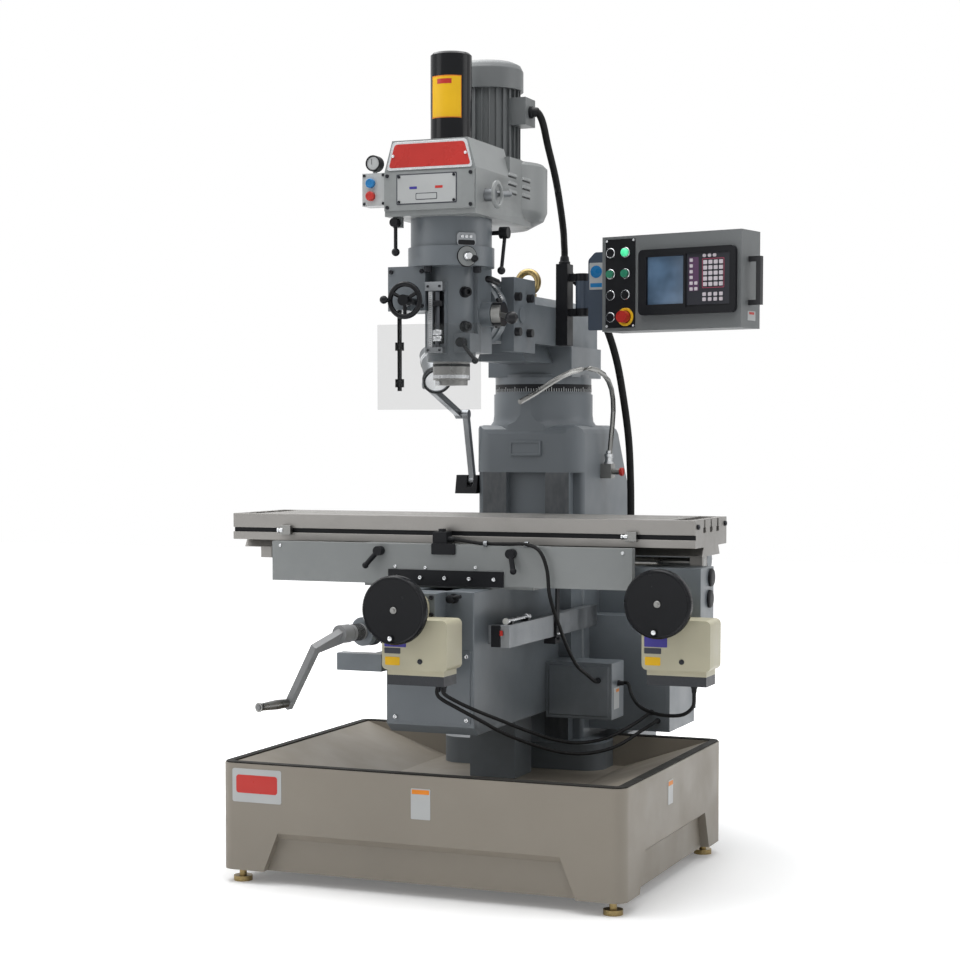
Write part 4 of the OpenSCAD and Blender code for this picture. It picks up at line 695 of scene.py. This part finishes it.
def lay_cords():
    # The two long cables cross two joints each, so each is laid in two lengths that meet halfway along its
    # route
    for name, node, route, r, bodies in (
            ("motor_lead", "motor_cable", MOTOR_ROUTE, MOTOR_LEAD_R, ("head", "knuckle", "ram")),
            ("console_lead", "console_cable", CONSOLE_ROUTE, CONSOLE_LEAD_R, ("ram", "turret", "base"))):
        path = smooth_route(route)
        middle = len(path) // 2
        upper, lower = path[:middle + 1], path[middle:]
        lay_cord(name + "_upper", node, upper, r)
        lay_cord(name + "_lower", node, lower, r)
    # The last value is the point of the route where the cable leaves its first body
    for name, node, route, bodies, leaves in (
            ("cross_feed_lead_a", "knee_cables", KNEE_ROUTE_A, ("knee", "base"), 1),
            ("cross_feed_lead_b", "knee_cables", KNEE_ROUTE_B, ("knee", "base"), 1),
            ("table_feed_lead", "saddle_cables", SADDLE_ROUTE, ("saddle", "knee"), 1),
            ("switch_lead", "saddle_cables", SWITCH_ROUTE, ("saddle", "knee"), 6)):
        lay_cord(name, node, smooth_route(route), LEAD_R)


lay_cords()


# Trim and plates, body by body, with places in millimetres

SPINDLE = Vector((0, -205, 0))
SWIVEL = Vector((0, 0, 1565))
TURRET = Vector((0, 510, 0))


def mm_box(node):
    low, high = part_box(node)
    return low / MM, high / MM


def by_spindle(way, r, z):
    """A point at a distance from the spindle's axis along a level way, at a height."""
    return SPINDLE + way * r + Vector((0, 0, z))


RIM_INSET, RIM_WIDE, RIM_PROUD = 3, 24, 4
RIM_CORNER, RIM_GAP = 34, 255


def rim_loop(half_w, half_d, inset):
    """The pan's edge, moved in by a distance, from one side of the column round to the other."""
    w, d, steps = half_w - inset, half_d - inset, 6
    loop = rounded(2 * w, 2 * d, max(RIM_CORNER - inset, 4), steps)[::-1]
    start = len(loop) - steps - 1
    return [(RIM_GAP, d)] + loop[start:] + loop[:start] + [(-RIM_GAP, d)]


def trim_base():
    """The rubber trim on the pan's rim, open where the column stands, and plain plates on the pan."""
    low, high = mm_box("base_pan")
    outer, inner = (rim_loop(high.x, -low.y, inset) for inset in (RIM_INSET, RIM_INSET + RIM_WIDE))
    span = (high.z - 1, high.z + RIM_PROUD)
    slab("rim_trim", outer + inner[::-1], span, Matrix(), TRIM_RUBBER, "base", 1.2)
    front, side = low.y, high.x
    plate("pan_plate_front", (-470, front, 272), FRONT, (150, 92), 1.2, WHITE_PLATE, "base", 6)
    plate("pan_plate_field", (-470, front - 1.2, 276), FRONT, (126, 50), 0.5, RED, "base", 8)
    plate("pan_plate_small", (18, front, 256), FRONT, (56, 82), 1.0, WHITE_PLATE, "base", 3)
    plate("pan_plate_small_field", (18, front - 1.0, 288), FRONT, (50, 12), 0.4, ORANGE, "base", 1)
    plate("pan_plate_side", (side, -60, 262), RIGHT, (44, 66), 1.0, WHITE_PLATE, "base", 3)
    plate("pan_plate_side_field", (side + 1.0, -60, 286), RIGHT, (40, 12), 0.4, ORANGE, "base", 1)


PANEL_AT = (0, 355, 1187.5)
# Width, height and corner of each edge of the panel's rim, and how far it stands out
PANEL_RIM = ((100, 45, 7, -2.0), (99, 44, 7, 2.6), (88, 33, 5, 2.6), (86, 31, 5, -2.0))


def trim_column():
    """The raised rim round the bare panel on the column's front."""
    place = facing(PANEL_AT, FRONT)
    bm = bmesh.new()
    rings = [[bm.verts.new(place @ Vector((x, y, out))) for x, y in rounded(w, h, corner)]
             for w, h, corner, out in PANEL_RIM]
    skin(bm, rings + rings[:1], False)
    add_piece("panel_rim", bm, CASTING_PAINT, "base", 0.8)


VALVE_AT = (190, 570)
VALVE_COLLAR = ((0, -1), (14, -1), (14, 5), (11, 7), (11, 18), (13, 19), (13, 30), (8.4, 32), (8.4, 40))
VALVE_KNOB = ((0, -1), (9.5, -1), (13, 2), (13, 9), (11, 11), (0, 11))


def trim_valve():
    """The coolant valve's bright collar under the hose, and its red knob."""
    turned("valve_collar", (*VALVE_AT, 1140), UP, VALVE_COLLAR, SILVER, "base", 24)
    stem = mm_box("coolant_hose")[1].x
    turned("valve_knob", (stem, VALVE_AT[1], 1116), RIGHT, VALVE_KNOB, RED, "base", 24)


KNEE_CLAMP = ((0, -1), (13, -1), (13, 8), (8, 9), (8, 22), (11, 24), (11, 34), (8, 36), (0, 36))


def trim_knee():
    """The knee's front plate with its screws, its clamp, and a plain plate on the junction box."""
    front = mm_box("knee")[0].y
    thick = 3
    plate("knee_front_plate", (4, front, 556), FRONT, (228, 196), thick, CASTING_PAINT, "knee", 4, 0.6)
    front_screws("knee_front_screws", (-100, 108), front - thick, (470, 640), 6, SILVER, "knee")
    bracket = mm_box("y_bearing_bracket")[0].y
    front_screws("bracket_screws", (38,), bracket, (755, 801), 6.5, BLACK_SCREW, "knee")
    turned("knee_clamp", (72, front, 794), FRONT, KNEE_CLAMP, SATIN, "knee", 28)
    arm = [(72, front - 29, 794), (88, front - 31, 800), (104, front - 33, 802)]
    tube("knee_clamp_arm", arm, 5, SATIN, "knee")
    side = mm_box("junction_box")[1].x
    plate("box_plate", (side, 232, 470), RIGHT, (46, 62), 0.8, WHITE_PLATE, "knee", 2)
    plate("box_plate_field", (side + 0.8, 240, 492), RIGHT, (26, 9), 0.3, ORANGE, "knee", 1, 0.1)


# How far above a feed unit's foot its labels are measured from
LABELS_UP = 40
UNIT_SCREW = ((0, -1), (7, -1), (7, 1.4), (5, 2.2), (0, 2.2))


def trim_feed_units():
    """Plain labels and a screw on the front of each feed unit, above its dark foot."""
    for node, body in (("y_feed_unit", "knee"), ("x_feed_unit", "saddle")):
        corner = mm_box(node)[0] + Vector((0, 0, LABELS_UP))
        for part, x, z, size, material, r in (("label", 38, 80, (62, 40), PURPLE, 2),
                                              ("field", 30, 50, (46, 15), DARK_LABEL, 2),
                                              ("tag", 30, 23, (42, 22), YELLOW, 3)):
            at = corner + Vector((x, 0, z))
            plate("%s_%s" % (node, part), at, FRONT, size, 0.6, material, body, r)
        turned(node + "_screw", corner + Vector((108, 0, 24)), FRONT, UNIT_SCREW, BLACK_SCREW, body, 20)


SCALE_LEFT, READER_SIDE = 178, 213
SCALE_ROD = ((0, 0), (9, 0), (9, 12), (6, 13), (6, 150), (9, 151), (9, 168), (0, 168))
# Outlines in Y and Z of the reading head and of the arm that carries it, each with its span in X
READER = (([(40, 640), (84, 640), (84, 658), (40, 658)], (SCALE_LEFT, READER_SIDE)),
          ([(50, 650), (74, 650), (74, 813), (50, 813)], (READER_SIDE - 5, READER_SIDE)))


def trim_scale():
    """The cross scale's dark end, its rod, and the reading head that hangs from the saddle."""
    low, high = mm_box("y_scale")
    end, cap = (low + high) / 2, 4
    plate("scale_end", (end.x, low.y, end.z), FRONT, (26, 58), cap, SATIN, "knee", 2)
    middle = (SCALE_LEFT + high.x) / 2
    turned("scale_rod", (middle, -288, high.z + 9), BACK, SCALE_ROD, SILVER, "knee", 24)
    for i, y in enumerate((-262, -142)):
        plate("scale_rod_foot_%d" % i, (middle, y, high.z), UP, (22, 14), 8, SATIN, "knee", 2)
    plate("scale_lamp", (middle - 8, low.y - cap, 700), FRONT, (9, 14), 2, RED, "knee", 2)
    bm = bmesh.new()
    for outline, x in READER:
        add_outline(bm, outline, *x, IN_YZ)
    add_piece("scale_reader", bm, SATIN, "saddle", 0.8)
    spots = [(READER_SIDE, y, z) for y in (56, 68) for z in (668, 690)]
    screws("scale_reader_screws", spots, RIGHT, 3.4, SILVER, "saddle")


CRANK_BASE = Vector((-100, -355, 710))
CRANK_OUT = around(-104.5)
CRANK_COLLAR = ((25, 0), (38, 0), (39, 1.5), (39, 15), (37, 18), (25, 18), (25, 0))
CLUTCH_RIBS, RIB_PITCH = 6, 5


def trim_crank():
    """The graduated collar and the ribbed clutch ring on the knee crank's shaft."""
    turned("crank_collar", CRANK_BASE + CRANK_OUT * 96, CRANK_OUT, CRANK_COLLAR, ALUMINIUM, "knee", 48)
    ring = [(11.4, 0), (21, 0)]
    for k in range(CLUTCH_RIBS):
        foot = RIB_PITCH * k
        ring += [(22.5, foot + 2), (22.5, foot + 5), (20.5, foot + 6)]
    ring += [(19, 34), (11.4, 34), (11.4, 0)]
    turned("crank_clutch", CRANK_BASE + CRANK_OUT * 150, CRANK_OUT, ring, SATIN, "knee_crank", 36)


WHEEL_DEEP = 41
WHEEL_DISH = ((0, 32), (80.6, 34.8), (80.6, 36.2), (62, 35.5), (36, 34.9), (20, 34.7), (0, 34.6))
WHEEL_NUT = ((0, 34), (9, 34), (9, 37), (8, 38), (5, 38), (4.4, 41), (0, 41))
GRIP_END = ((0, -1), (6, -1), (6, 1.6), (4, 2.6), (0, 2.6))
# Where the folded grip's end stands on a wheel, across and up
GRIP_AT = around(-96, 73)


def trim_wheels():
    """Smooth dished faces on the two handwheels, each with its nut and the bright end of its folded grip."""
    for node in ("y_handwheel", "x_handwheel"):
        low, high = mm_box(node)
        at = Vector(((low.x + high.x) / 2, low.y + WHEEL_DEEP, (low.z + high.z) / 2))
        turned(node + "_dish", at, FRONT, WHEEL_DISH, BLACK_GLOSS, node, 72)
        turned(node + "_nut", at, FRONT, WHEEL_NUT, STEEL_TURNED, node, 24)
        grip = Vector((at.x + GRIP_AT.x, low.y, at.z + GRIP_AT.y))
        turned(node + "_grip_end", grip, FRONT, GRIP_END, SILVER, node, 22)


SKIRT_SCREWS = ((-150, 868), (-60, 866), (-505, 918), (505, 918), (88, 870))
LEAD_CLIP = ((8.4, -5), (8.4, 5), (6.2, 5), (6.2, -5), (8.4, -5))
GEARBOX_CAP = ((0, -1), (24, -1), (24, 5), (22, 7.5), (18, 8.5), (0, 9))


def trim_saddle():
    """Screws on the skirt and the way cover, the switch's base and lead clips, and the gearbox's two caps."""
    skirt = mm_box("saddle")[0].y
    screws("skirt_screws", [(x, skirt, z) for x, z in SKIRT_SCREWS], FRONT, 4.5, SILVER, "saddle")
    cover = mm_box("way_cover")[0].y
    front_screws("cover_screws", range(-144, 145, 72), cover, (839,), 5.5, SILVER, "saddle")
    plate("switch_base", (-6, skirt, 918), FRONT, (70, 30), 5, SATIN, "saddle", 3, 0.8)
    for i, x in enumerate((236, 118)):
        bm = bmesh.new()
        add_lathe(bm, LEAD_CLIP, facing((x, skirt, 935), RIGHT), 20)
        add_piece("switch_lead_clip_%d" % i, bm, ALUMINIUM, "saddle", 0.3, True)
    side = mm_box("x_gearbox")[1].x
    for i, (y, z) in enumerate(((-98, 850), (-110, 794))):
        turned("gearbox_cap_%d" % i, (side, y, z), RIGHT, GEARBOX_CAP, SATIN, "saddle", 40)


GROOVE_DEEP, GROOVE_TALL = 7, 11.6
DOG_SCREW = ((0, 0), (7, 0), (7, 4), (5, 5), (5, 9), (8, 10), (8, 18), (5, 19), (5, 30), (0, 30))


def trim_table():
    """Painted shade in the groove along the table's edge, screws in its ends, and a screw beside each trip
    dog.
    """
    low, high = mm_box("table")
    groove_z = 958
    at = (0, low.y + GROOVE_DEEP, groove_z)
    # A dark plate at the back of the groove is painted shade in it
    plate("edge_groove", at, FRONT, (high.x * 2 - 2, GROOVE_TALL), 0.6, SATIN, "table", 0.5)
    for side, name, out in ((-1, "left", LEFT), (1, "right", RIGHT)):
        spots = [(side * high.x, y, 986) for y in (-170, 94)]
        screws("end_screws_" + name, spots, out, 7, BLACK_SCREW, "table")
        turned("dog_screw_" + name, (side * 512 - 26, -199, groove_z), RIGHT, DOG_SCREW, SILVER, "table", 24)


COVER_STEP = 8
NAME_FOOT, NAME_TOP = 1929, 2003
NAME_HALF_FOOT, NAME_HALF_TOP = 124, 106
BRAKE_RING = ((37, -1), (37, 4), (34, 6), (28, 6), (26, 3), (26, -1))
LOUVRE = [(-31, 0), (31, 0), (26, 8), (-26, 8)]


def trim_name_plate(face):
    """A plain red plate in a bright frame."""
    place = Matrix.Translation((0, face, 0)) @ Matrix.Rotation(math.radians(90), 4, "X")
    for name, inset, thick, material in (("name_frame", 0, 3.0, SILVER), ("name_field", 6, 3.8, RED)):
        foot, top = NAME_HALF_FOOT - inset, NAME_HALF_TOP - inset
        low, high = NAME_FOOT + inset, NAME_TOP - inset
        outline = corner_cut([(-foot, low), (foot, low), (top, high), (-top, high)], 9)
        slab(name, outline, (-1, thick), place, material, "head", 0.8)
    front_screws("name_screws", (-104, 104), face - 3.8, (1966,), 4, SILVER, "head")


def trim_belt_housing():
    """The speed plate with its plain fields, the louvres with painted shade under each, and the brake's ring.
    """
    low, high = mm_box("belt_housing")
    cover, side = low.y, high.x
    trim_name_plate(cover + COVER_STEP)
    # Name, place along X and Z, size, how far out it starts, thickness, material and corner
    for name, x, z, size, back, thick, material, corner in (
            ("speed_plate_edge", -6, 1877, (174, 80), 0.0, 0.8, DARK_LABEL, 3),
            ("speed_plate", -6, 1877, (168, 74), 0.8, 0.5, WHITE_PLATE, 3),
            ("speed_mark_low", -44, 1880, (22, 7), 1.3, 0.3, PURPLE, 1),
            ("speed_mark_high", 30, 1880, (22, 7), 1.3, 0.3, RED, 1),
            ("speed_box_edge", -6, 1857, (62, 18), 1.3, 0.3, DARK_LABEL, 3),
            ("speed_box", -6, 1857, (58, 14), 1.6, 0.3, WHITE_PLATE, 2)):
        plate(name, (x, cover - back, z), FRONT, size, thick, material, "head", corner)
    front_screws("speed_screws", (-85, 73), cover - 1.2, (1844, 1910), 4, BLACK_SCREW, "head")
    front_screws("cover_corner_screws", (-120, 120), cover, (1831, 1914), 5, BLACK_SCREW, "head")
    for column, y in enumerate((-166, -62)):
        for row in range(3):
            z, place = 1878 + 22 * row, "%d_%d" % (column, row)
            slab("louvre_" + place, LOUVRE, (-1, 4), facing((side, y, z), RIGHT), LIGHT_PAINT, "head", 1.2)
            # The dark strip under each louvre is painted shade in its opening, not a part
            plate("louvre_slot_shade_" + place, (side, y, z - 2), RIGHT, (58, 4), 0.4, SATIN, "head", 1)
    turned("brake_ring", (side, -279, 1862), RIGHT, BRAKE_RING, LIGHT_PAINT, "head")


DRAWBAR_R = 56
SWITCH_STEP = 9
SWITCH_CAP = ((0, 0), (12.5, 0), (12.5, 9.6), (11, 11), (8, 11), (7, 10), (0, 10))
GAUGE_AT = (-170, -340, 1953)
GAUGE_RIM = ((21.4, -24), (21.4, 2), (19, 3), (17.5, 2), (17.5, -1), (0, -1))
GAUGE_FACE = ((0, 0.4), (17.4, 0.4), (17.4, -0.6))


def trim_drawbar():
    """A plain yellow field round the drawbar cover, its switch's caps and the gauge's face."""
    for name, lift, material, turns, along in (
            ("drawbar_field_edge", 0.5, ORANGE, (-130, -38), (2076, 2188)),
            ("drawbar_field", 0.9, YELLOW, (-128, -40), (2079, 2185)),
            ("drawbar_field_bar", 1.2, RED, (-108, -66), (2166, 2179))):
        band(name, SPINDLE, DRAWBAR_R, turns, along, lift, material, "head", "Z", 18)
    face = mm_box("drawbar_switch")[0].y + SWITCH_STEP
    for name, z, material in (("drawbar_cap_red", 1865, RED), ("drawbar_cap_blue", 1899, BLUE)):
        turned(name, (-174, face, z), FRONT, SWITCH_CAP, material, "head", 28)
    front_screws("drawbar_switch_screws", (-194, -138), face, (1845, 1920), 4, BLACK_SCREW, "head")
    turned("gauge_rim", GAUGE_AT, FRONT, GAUGE_RIM, SATIN, "head")
    turned("gauge_face", GAUGE_AT, FRONT, GAUGE_FACE, WHITE_PLATE, "head")
    plate("gauge_needle", (-174, -340.6, 1957), FRONT, (1.4, 14), 0.4, SATIN, "head", 0.5, 0.1)


# The way out of the gear case's round face, and across it
CASE_OUT, CASE_SIDE = around(-46), Vector((0.72, 0.69, 0))
WINDOW_PIN = ((0, -0.5), (4.4, -0.5), (4.4, 2.2), (3.4, 3), (0, 3))
KNOB_EDGE = ((0, -6), (28, -6), (28, 2.4), (26.6, 3), (26, 2.4), (0, 2.4))
KNOB_PLATE = ((0, 1), (26, 1), (26, 3.4), (24.6, 4), (0, 4))
KNOB = ((0, 3), (13, 3), (13, 10), (11, 17), (8, 20), (0, 20))
KNOB_GRIP = ((0, 0), (7, 0), (9, 5), (9, 15), (6, 20), (0, 21))


def trim_gear_case():
    """The window and the speed knob on the gear case."""
    thick = 5
    window = by_spindle(CASE_OUT, 108, 1748)
    face = window + CASE_OUT * thick
    plate("case_window", window, CASE_OUT, (54, 36), thick, ALUMINIUM, "head", 9, 1.0, 4)
    foot = face - Vector((0, 0, 9))
    plate("case_window_foot", foot, CASE_OUT, (48, 13), 0.6, SATIN, "head", 5, 0.2)
    for i, shift in enumerate((-12, 0, 12)):
        at = face + CASE_SIDE * shift + Vector((0, 0, 7))
        turned("case_window_pin_%d" % i, at, CASE_OUT, WINDOW_PIN, SILVER, "head", 18)
    knob = by_spindle(CASE_OUT, 115, 1702)
    turned("case_knob_edge", knob, CASE_OUT, KNOB_EDGE, SATIN, "head", 44)
    turned("case_knob_plate", knob, CASE_OUT, KNOB_PLATE, LIGHT_PAINT, "head", 44)
    turned("case_knob", knob, CASE_OUT, KNOB, SILVER, "head")
    grip = knob + Vector((11, 11, -7)) + CASE_OUT * 8
    turned("case_knob_grip", grip, CASE_OUT, KNOB_GRIP, SATIN, "head")


BARREL_R, RAIL_T = 66, 12
RAIL = SPINDLE.y - BARREL_R - RAIL_T
STOP_ROD = ((0, 0), (6, 0), (6, 158), (5, 160), (0, 160))
STOP_NUT = ((6, 0), (12, 0), (13, 1.5), (13, 12.5), (12, 14), (6, 14), (6, 0))
MARKS, MARK_PITCH = 29, 5.2


def trim_depth_stop():
    """The quill's depth scale, painted shade in its slot, and the stop rod with its nuts between two ears."""
    scale, slot, ear = 1.2, 0.8, 22
    plate("depth_scale", (-28, RAIL, 1533), FRONT, (11, 158), scale, SILVER, "head", 1)
    # The black plate on the rail is painted shade standing for the slot's opening
    plate("depth_slot_shade", (-4, RAIL, 1541), FRONT, (32, 140), slot, BLACK_GLOSS, "head", 3)
    bm = bmesh.new()
    for i in range(MARKS):
        at = (-28, RAIL - scale, 1460 + MARK_PITCH * i)
        add_outline(bm, rounded(5 if i % 5 else 8, 0.9, 0.3), 0, 0.3, facing(at, FRONT))
    add_piece("depth_marks", bm, SATIN, "head")
    rod = (-2, RAIL - 12)
    turned("stop_rod", (*rod, 1458), UP, STOP_ROD, DARK_STEEL, "head", 20)
    for i, (z, material) in enumerate(((1478, SILVER), (1494, SILVER), (1572, SATIN))):
        turned("stop_nut_%d" % i, (*rod, z), UP, STOP_NUT, material, "head", 30)
    for i, (z, tall) in enumerate(((1454, 16), (1624, 24))):
        plate("stop_ear_%d" % i, (-9, RAIL, z), FRONT, (50, tall), ear, ALUMINIUM, "head", 2, 0.8)
        front_screws("stop_ear_screws_%d" % i, (-26, 8), RAIL - ear, (z,), 3.6, BLACK_SCREW, "head")


CLAMP_OUT = around(-33)
BARREL_BOLT = ((0, -8), (17, -8), (17, 1), (15, 2), (12.5, 2), (12.5, 17), (11, 18.5), (7, 18.5),
               (6, 12), (0, 12))
CASE_BOLT = ((0, -5.5), (11, -5.5), (11, 15), (9.6, 17), (5.4, 17), (5, 9), (0, 9))
CASE_BOLT_CIRCLE, CASE_FOOT = 92, 1679
SWIVEL_LOCK = [(70, -150, 1652), (84, -128, 1652), (92, -98, 1646)]


def trim_head():
    """Clamp bolts on the barrel's right, bolts up into the gear case, and the swivel's lock."""
    for i, z in enumerate((1519, 1611)):
        at = by_spindle(CLAMP_OUT, BARREL_R - 2, z)
        turned("barrel_bolt_%d" % i, at, CLAMP_OUT, BARREL_BOLT, SATIN, "head", 30)
    bm = bmesh.new()
    for turn in (-110, -18, 70):
        at = by_spindle(around(turn), CASE_BOLT_CIRCLE, CASE_FOOT)
        add_lathe(bm, CASE_BOLT, facing(at, DOWN), 20)
    split_edges(add_piece("gear_case_bolts", bm, BLACK_SCREW, "head", 0.0, True))
    tube("swivel_lock", SWIVEL_LOCK, 9, SATIN, "head", 16)
    front_screws("head_screws", (-140, -50), -291, (1574, 1666), 6, BLACK_SCREW, "head")


TURRET_R, KNUCKLE_R, HEAD_FLANGE_R, QUILL_R = 146, 100, 96, 50


def trim_swivels():
    """The graduated bands of the turret and the head's swivel, its dark worm cover, and the quill's bands."""
    dial("turret_band", TURRET, TURRET_R, (-150, 60), (1357, 1379), "Z", "turret", SATIN, WHITE_PLATE, 3)
    dial("swivel_band", SWIVEL, KNUCKLE_R, (10, 170), (-73, -57), "Y", "knuckle", SILVER, SATIN, 4)
    bm = bmesh.new()
    arc_band(bm, SWIVEL, HEAD_FLANGE_R, (-26, 22), (-106, -80), 7.0, "Y")
    add_piece("worm_cover", bm, SATIN, "head", 1.6)
    inner, outer = QUILL_R - 1, QUILL_R + 0.6
    for name, z, tall, material in (("quill_wiper", 1412, 8, SATIN), ("quill_land", 1380, 10, SILVER)):
        ring = ((inner, 0), (outer, 0.4), (outer, tall - 0.4), (inner, tall))
        turned(name, SPINDLE + Vector((0, 0, z)), UP, ring, material, "quill", 60)
    for i, turn in enumerate((-118, 62)):
        way = around(turn)
        plate("drive_key_%d" % i, by_spindle(way, 42, 1368), way, (16, 11), 8, SILVER, "spindle", 1.5, 0.5, 2)


CONSOLE_PLACE = Matrix.Translation(CONSOLE_AT) @ Matrix.Rotation(CONSOLE_TURN, 4, "Z")
CONSOLE_OUT = CONSOLE_PLACE.to_3x3() @ Vector(FRONT)
BUTTON_LEFT, BUTTON_RIGHT = 30, 79
BUTTON_ROWS = (223, 163, 103, 40)
BUTTON_RING = ((12, 0), (14.5, 0), (14.5, 4), (13.5, 5), (12, 5))
PILOT_LENS = ((11.5, 0), (11.5, 5), (9, 8), (4, 9.5), (0, 9.8))
STOP_RING = ((18, 0), (26, 0), (26, 2.5), (24.5, 3.5), (19, 3.5), (18, 2.6))


def on_console(x, z, y=0.0):
    """A point from the console's lower left corner: to its right, up, and back from its face."""
    return CONSOLE_PLACE @ Vector((x, y, z))


def trim_buttons():
    """The console's black button panel with its rings, the pilot's lens and the stop button's ring."""
    plate("button_panel", on_console(61, 136), CONSOLE_OUT, (98, 252), 2.0, SATIN, "console", 3, 0.3)
    spots = [on_console(x, z, -2) for x in (17, 105) for z in (15, 257)]
    screws("panel_screws", spots, CONSOLE_OUT, 3.6, SILVER, "console")
    rings = [(x, z) for z in BUTTON_ROWS for x in (BUTTON_LEFT, BUTTON_RIGHT)][:-1]
    for i, (x, z) in enumerate(rings):
        turned("button_ring_%d" % i, on_console(x, z, -1.5), CONSOLE_OUT, BUTTON_RING, SILVER, "console", 32)
    pilot = on_console(BUTTON_RIGHT, BUTTON_ROWS[0], -7)
    turned("pilot_lens", pilot, CONSOLE_OUT, PILOT_LENS, GLOW, "console", 32)
    stop = on_console(BUTTON_RIGHT, BUTTON_ROWS[-1], -1.5)
    turned("stop_ring", stop, CONSOLE_OUT, STOP_RING, YELLOW, "console", 40)


def add_key(bm, size, corner, x, z, y):
    add_outline(bm, rounded(*size, corner), -0.3, 1.4, facing(on_console(x, z, y), CONSOLE_OUT))


def trim_display():
    """The console's screen, its fields and its keys."""
    # Name, span along the console, span in height, place in depth, thickness, material, corner and ease
    for name, x, z, y, thick, material, corner, ease in (
            ("screen", (154, 273), (71, 205), -6, 0.8, SCREEN, 1, 0.3),
            ("key_field", (281, 416), (66, 210), -11, 0.8, KEY_FIELD, 2, 0.3),
            ("key_frame", (331, 400), (111, 193), -11.8, 0.3, ROSE, 3, 0.1),
            ("key_ground", (333, 398), (113, 191), -12.1, 0.3, KEY_FIELD, 2, 0.1),
            ("soft_key_band", (289, 320), (104, 198), -11.8, 0.3, MAUVE, 3, 0.1)):
        at = on_console(sum(x) / 2, sum(z) / 2, y)
        plate(name, at, CONSOLE_OUT, (x[1] - x[0], z[1] - z[0]), thick, material, "console", corner, ease)
    keys = bmesh.new()
    for column in range(3):
        add_key(keys, (11, 9), 4, 338 + 16 * column, 201, -11.8)
    for column in range(4):
        for row in range(5):
            add_key(keys, (12, 11), 2, 341 + 16.5 * column, 182.5 - 15.2 * row, -12.4)
        for row in range(2):
            add_key(keys, (11, 10), 2, 338 + 17.5 * column, 94 - 14 * row, -11.8)
    add_piece("number_keys", keys, KEY_CAP, "console", 0.4)
    soft = bmesh.new()
    for row in range(6):
        for column in range(2 if row > 3 else 1):
            add_key(soft, (10, 9), 2, 297 + 15 * column, 190 - 16 * row, -12.1)
    add_piece("soft_keys", soft, KEY_CAP, "console", 0.4)


ARM_FACE, ARM_T = 367, 3.4
# The arm's front plate in X and Z, with its upper left corner cut off
ARM_PLATE = [(193, 1534), (292, 1534), (292, 1762), (214, 1762), (193, 1740)]
SIGN_X, SIGN_T = 218, 0.8
SIGN_DISC = ((0, -0.3), (18, -0.3), (18, 0.3), (17, 0.5), (0, 0.5))


def trim_console():
    """A plain plate on the console's side, and the tall plate in front of its arm with a plain round sign."""
    tag, field = on_console(CONSOLE_W, 34, 62), on_console(CONSOLE_W + 0.6, 41, 62)
    plate("console_tag", tag, CONSOLE_RIGHT, (46, 26), 0.6, WHITE_PLATE, "console", 2)
    plate("console_tag_field", field, CONSOLE_RIGHT, (30, 7), 0.3, RED, "console", 1)
    span = (ARM_FACE, ARM_FACE + ARM_T)
    slab("arm_plate", corner_cut(ARM_PLATE, 6), span, IN_XZ, SLATE_PAINT, "console", 0.6)
    plate("arm_sign", (SIGN_X, ARM_FACE, 1692), FRONT, (42, 78), SIGN_T, WHITE_PLATE, "console", 2)
    face = ARM_FACE - SIGN_T
    turned("arm_sign_disc", (SIGN_X, face, 1705), FRONT, SIGN_DISC, BLUE, "console")
    plate("arm_sign_foot", (SIGN_X, face, 1666), FRONT, (36, 12), 0.4, BLUE, "console", 1, 0.1)


LAMP_AIM = Vector((0.4444, -0.7112, -0.5446))
LAMP_CENTRE = Vector((-194, 120, 1424))
LAMP_RING = ((34.4, -3), (41.6, 2), (42, 8), (42, 18), (40, 21), (35, 21), (34, 16), (34.4, -3))
LAMP_LENS = ((0, 20), (16, 19.4), (28, 17.6), (34.6, 14.6))
LAMP_COLLAR = ((34.2, 0), (36, 1), (36, 5), (34.2, 6), (34.2, 12), (36, 13), (36, 17), (34.2, 18))


def trim_lamp():
    """The lamp head's black ring, its lens and its ribbed collar."""
    for name, along, profile, material in (("lamp_ring", 60, LAMP_RING, SATIN),
                                           ("lamp_lens", 60, LAMP_LENS, LENS),
                                           ("lamp_collar", -40, LAMP_COLLAR, SILVER)):
        turned(name, LAMP_CENTRE + LAMP_AIM * along, LAMP_AIM, profile, material, "lamp_head", 40)


# Radius as a share of the cable's, and height for a thick cable
GLAND = ((1.02, -1), (1.7, -1), (1.7, 7), (1.55, 8.5), (1.42, 8.5), (1.3, 20), (1.12, 24), (1.02, 24),
         (1.02, -1))
THIN_GLAND = 0.75


def trim_glands():
    """A tapered strain relief with a nut at both ends of each cable, where it enters a housing."""
    for name, route, r, (out, body), (end_out, end_body) in (
            ("motor_gland", MOTOR_ROUTE, MOTOR_LEAD_R, (RIGHT, "head"), (UP, "ram")),
            ("console_gland", CONSOLE_ROUTE, CONSOLE_LEAD_R, (BACK, "ram"), (UP, "base")),
            ("cross_gland_a", KNEE_ROUTE_A, LEAD_R, (DOWN, "knee"), (FRONT, "base")),
            ("cross_gland_b", KNEE_ROUTE_B, LEAD_R, (DOWN, "knee"), (FRONT, "base")),
            ("table_gland", SADDLE_ROUTE, LEAD_R, (DOWN, "saddle"), (RIGHT, "knee")),
            ("switch_gland", SWITCH_ROUTE, LEAD_R, (RIGHT, "saddle"), (FRONT, "knee"))):
        tall = THIN_GLAND if r == LEAD_R else 1.0
        profile = [(a * r, b * tall) for a, b in GLAND]
        turned(name, route[0], out, profile, SATIN, body, 24)
        turned(name + "_end", route[-1], end_out, profile, SATIN, end_body, 24)


for trim in (trim_base, trim_column, trim_valve, trim_knee, trim_feed_units, trim_scale, trim_crank,
             trim_wheels, trim_saddle, trim_table, trim_belt_housing, trim_drawbar, trim_gear_case,
             trim_depth_stop, trim_head, trim_swivels, trim_buttons, trim_display, trim_console,
             trim_lamp, trim_glands):
    trim()
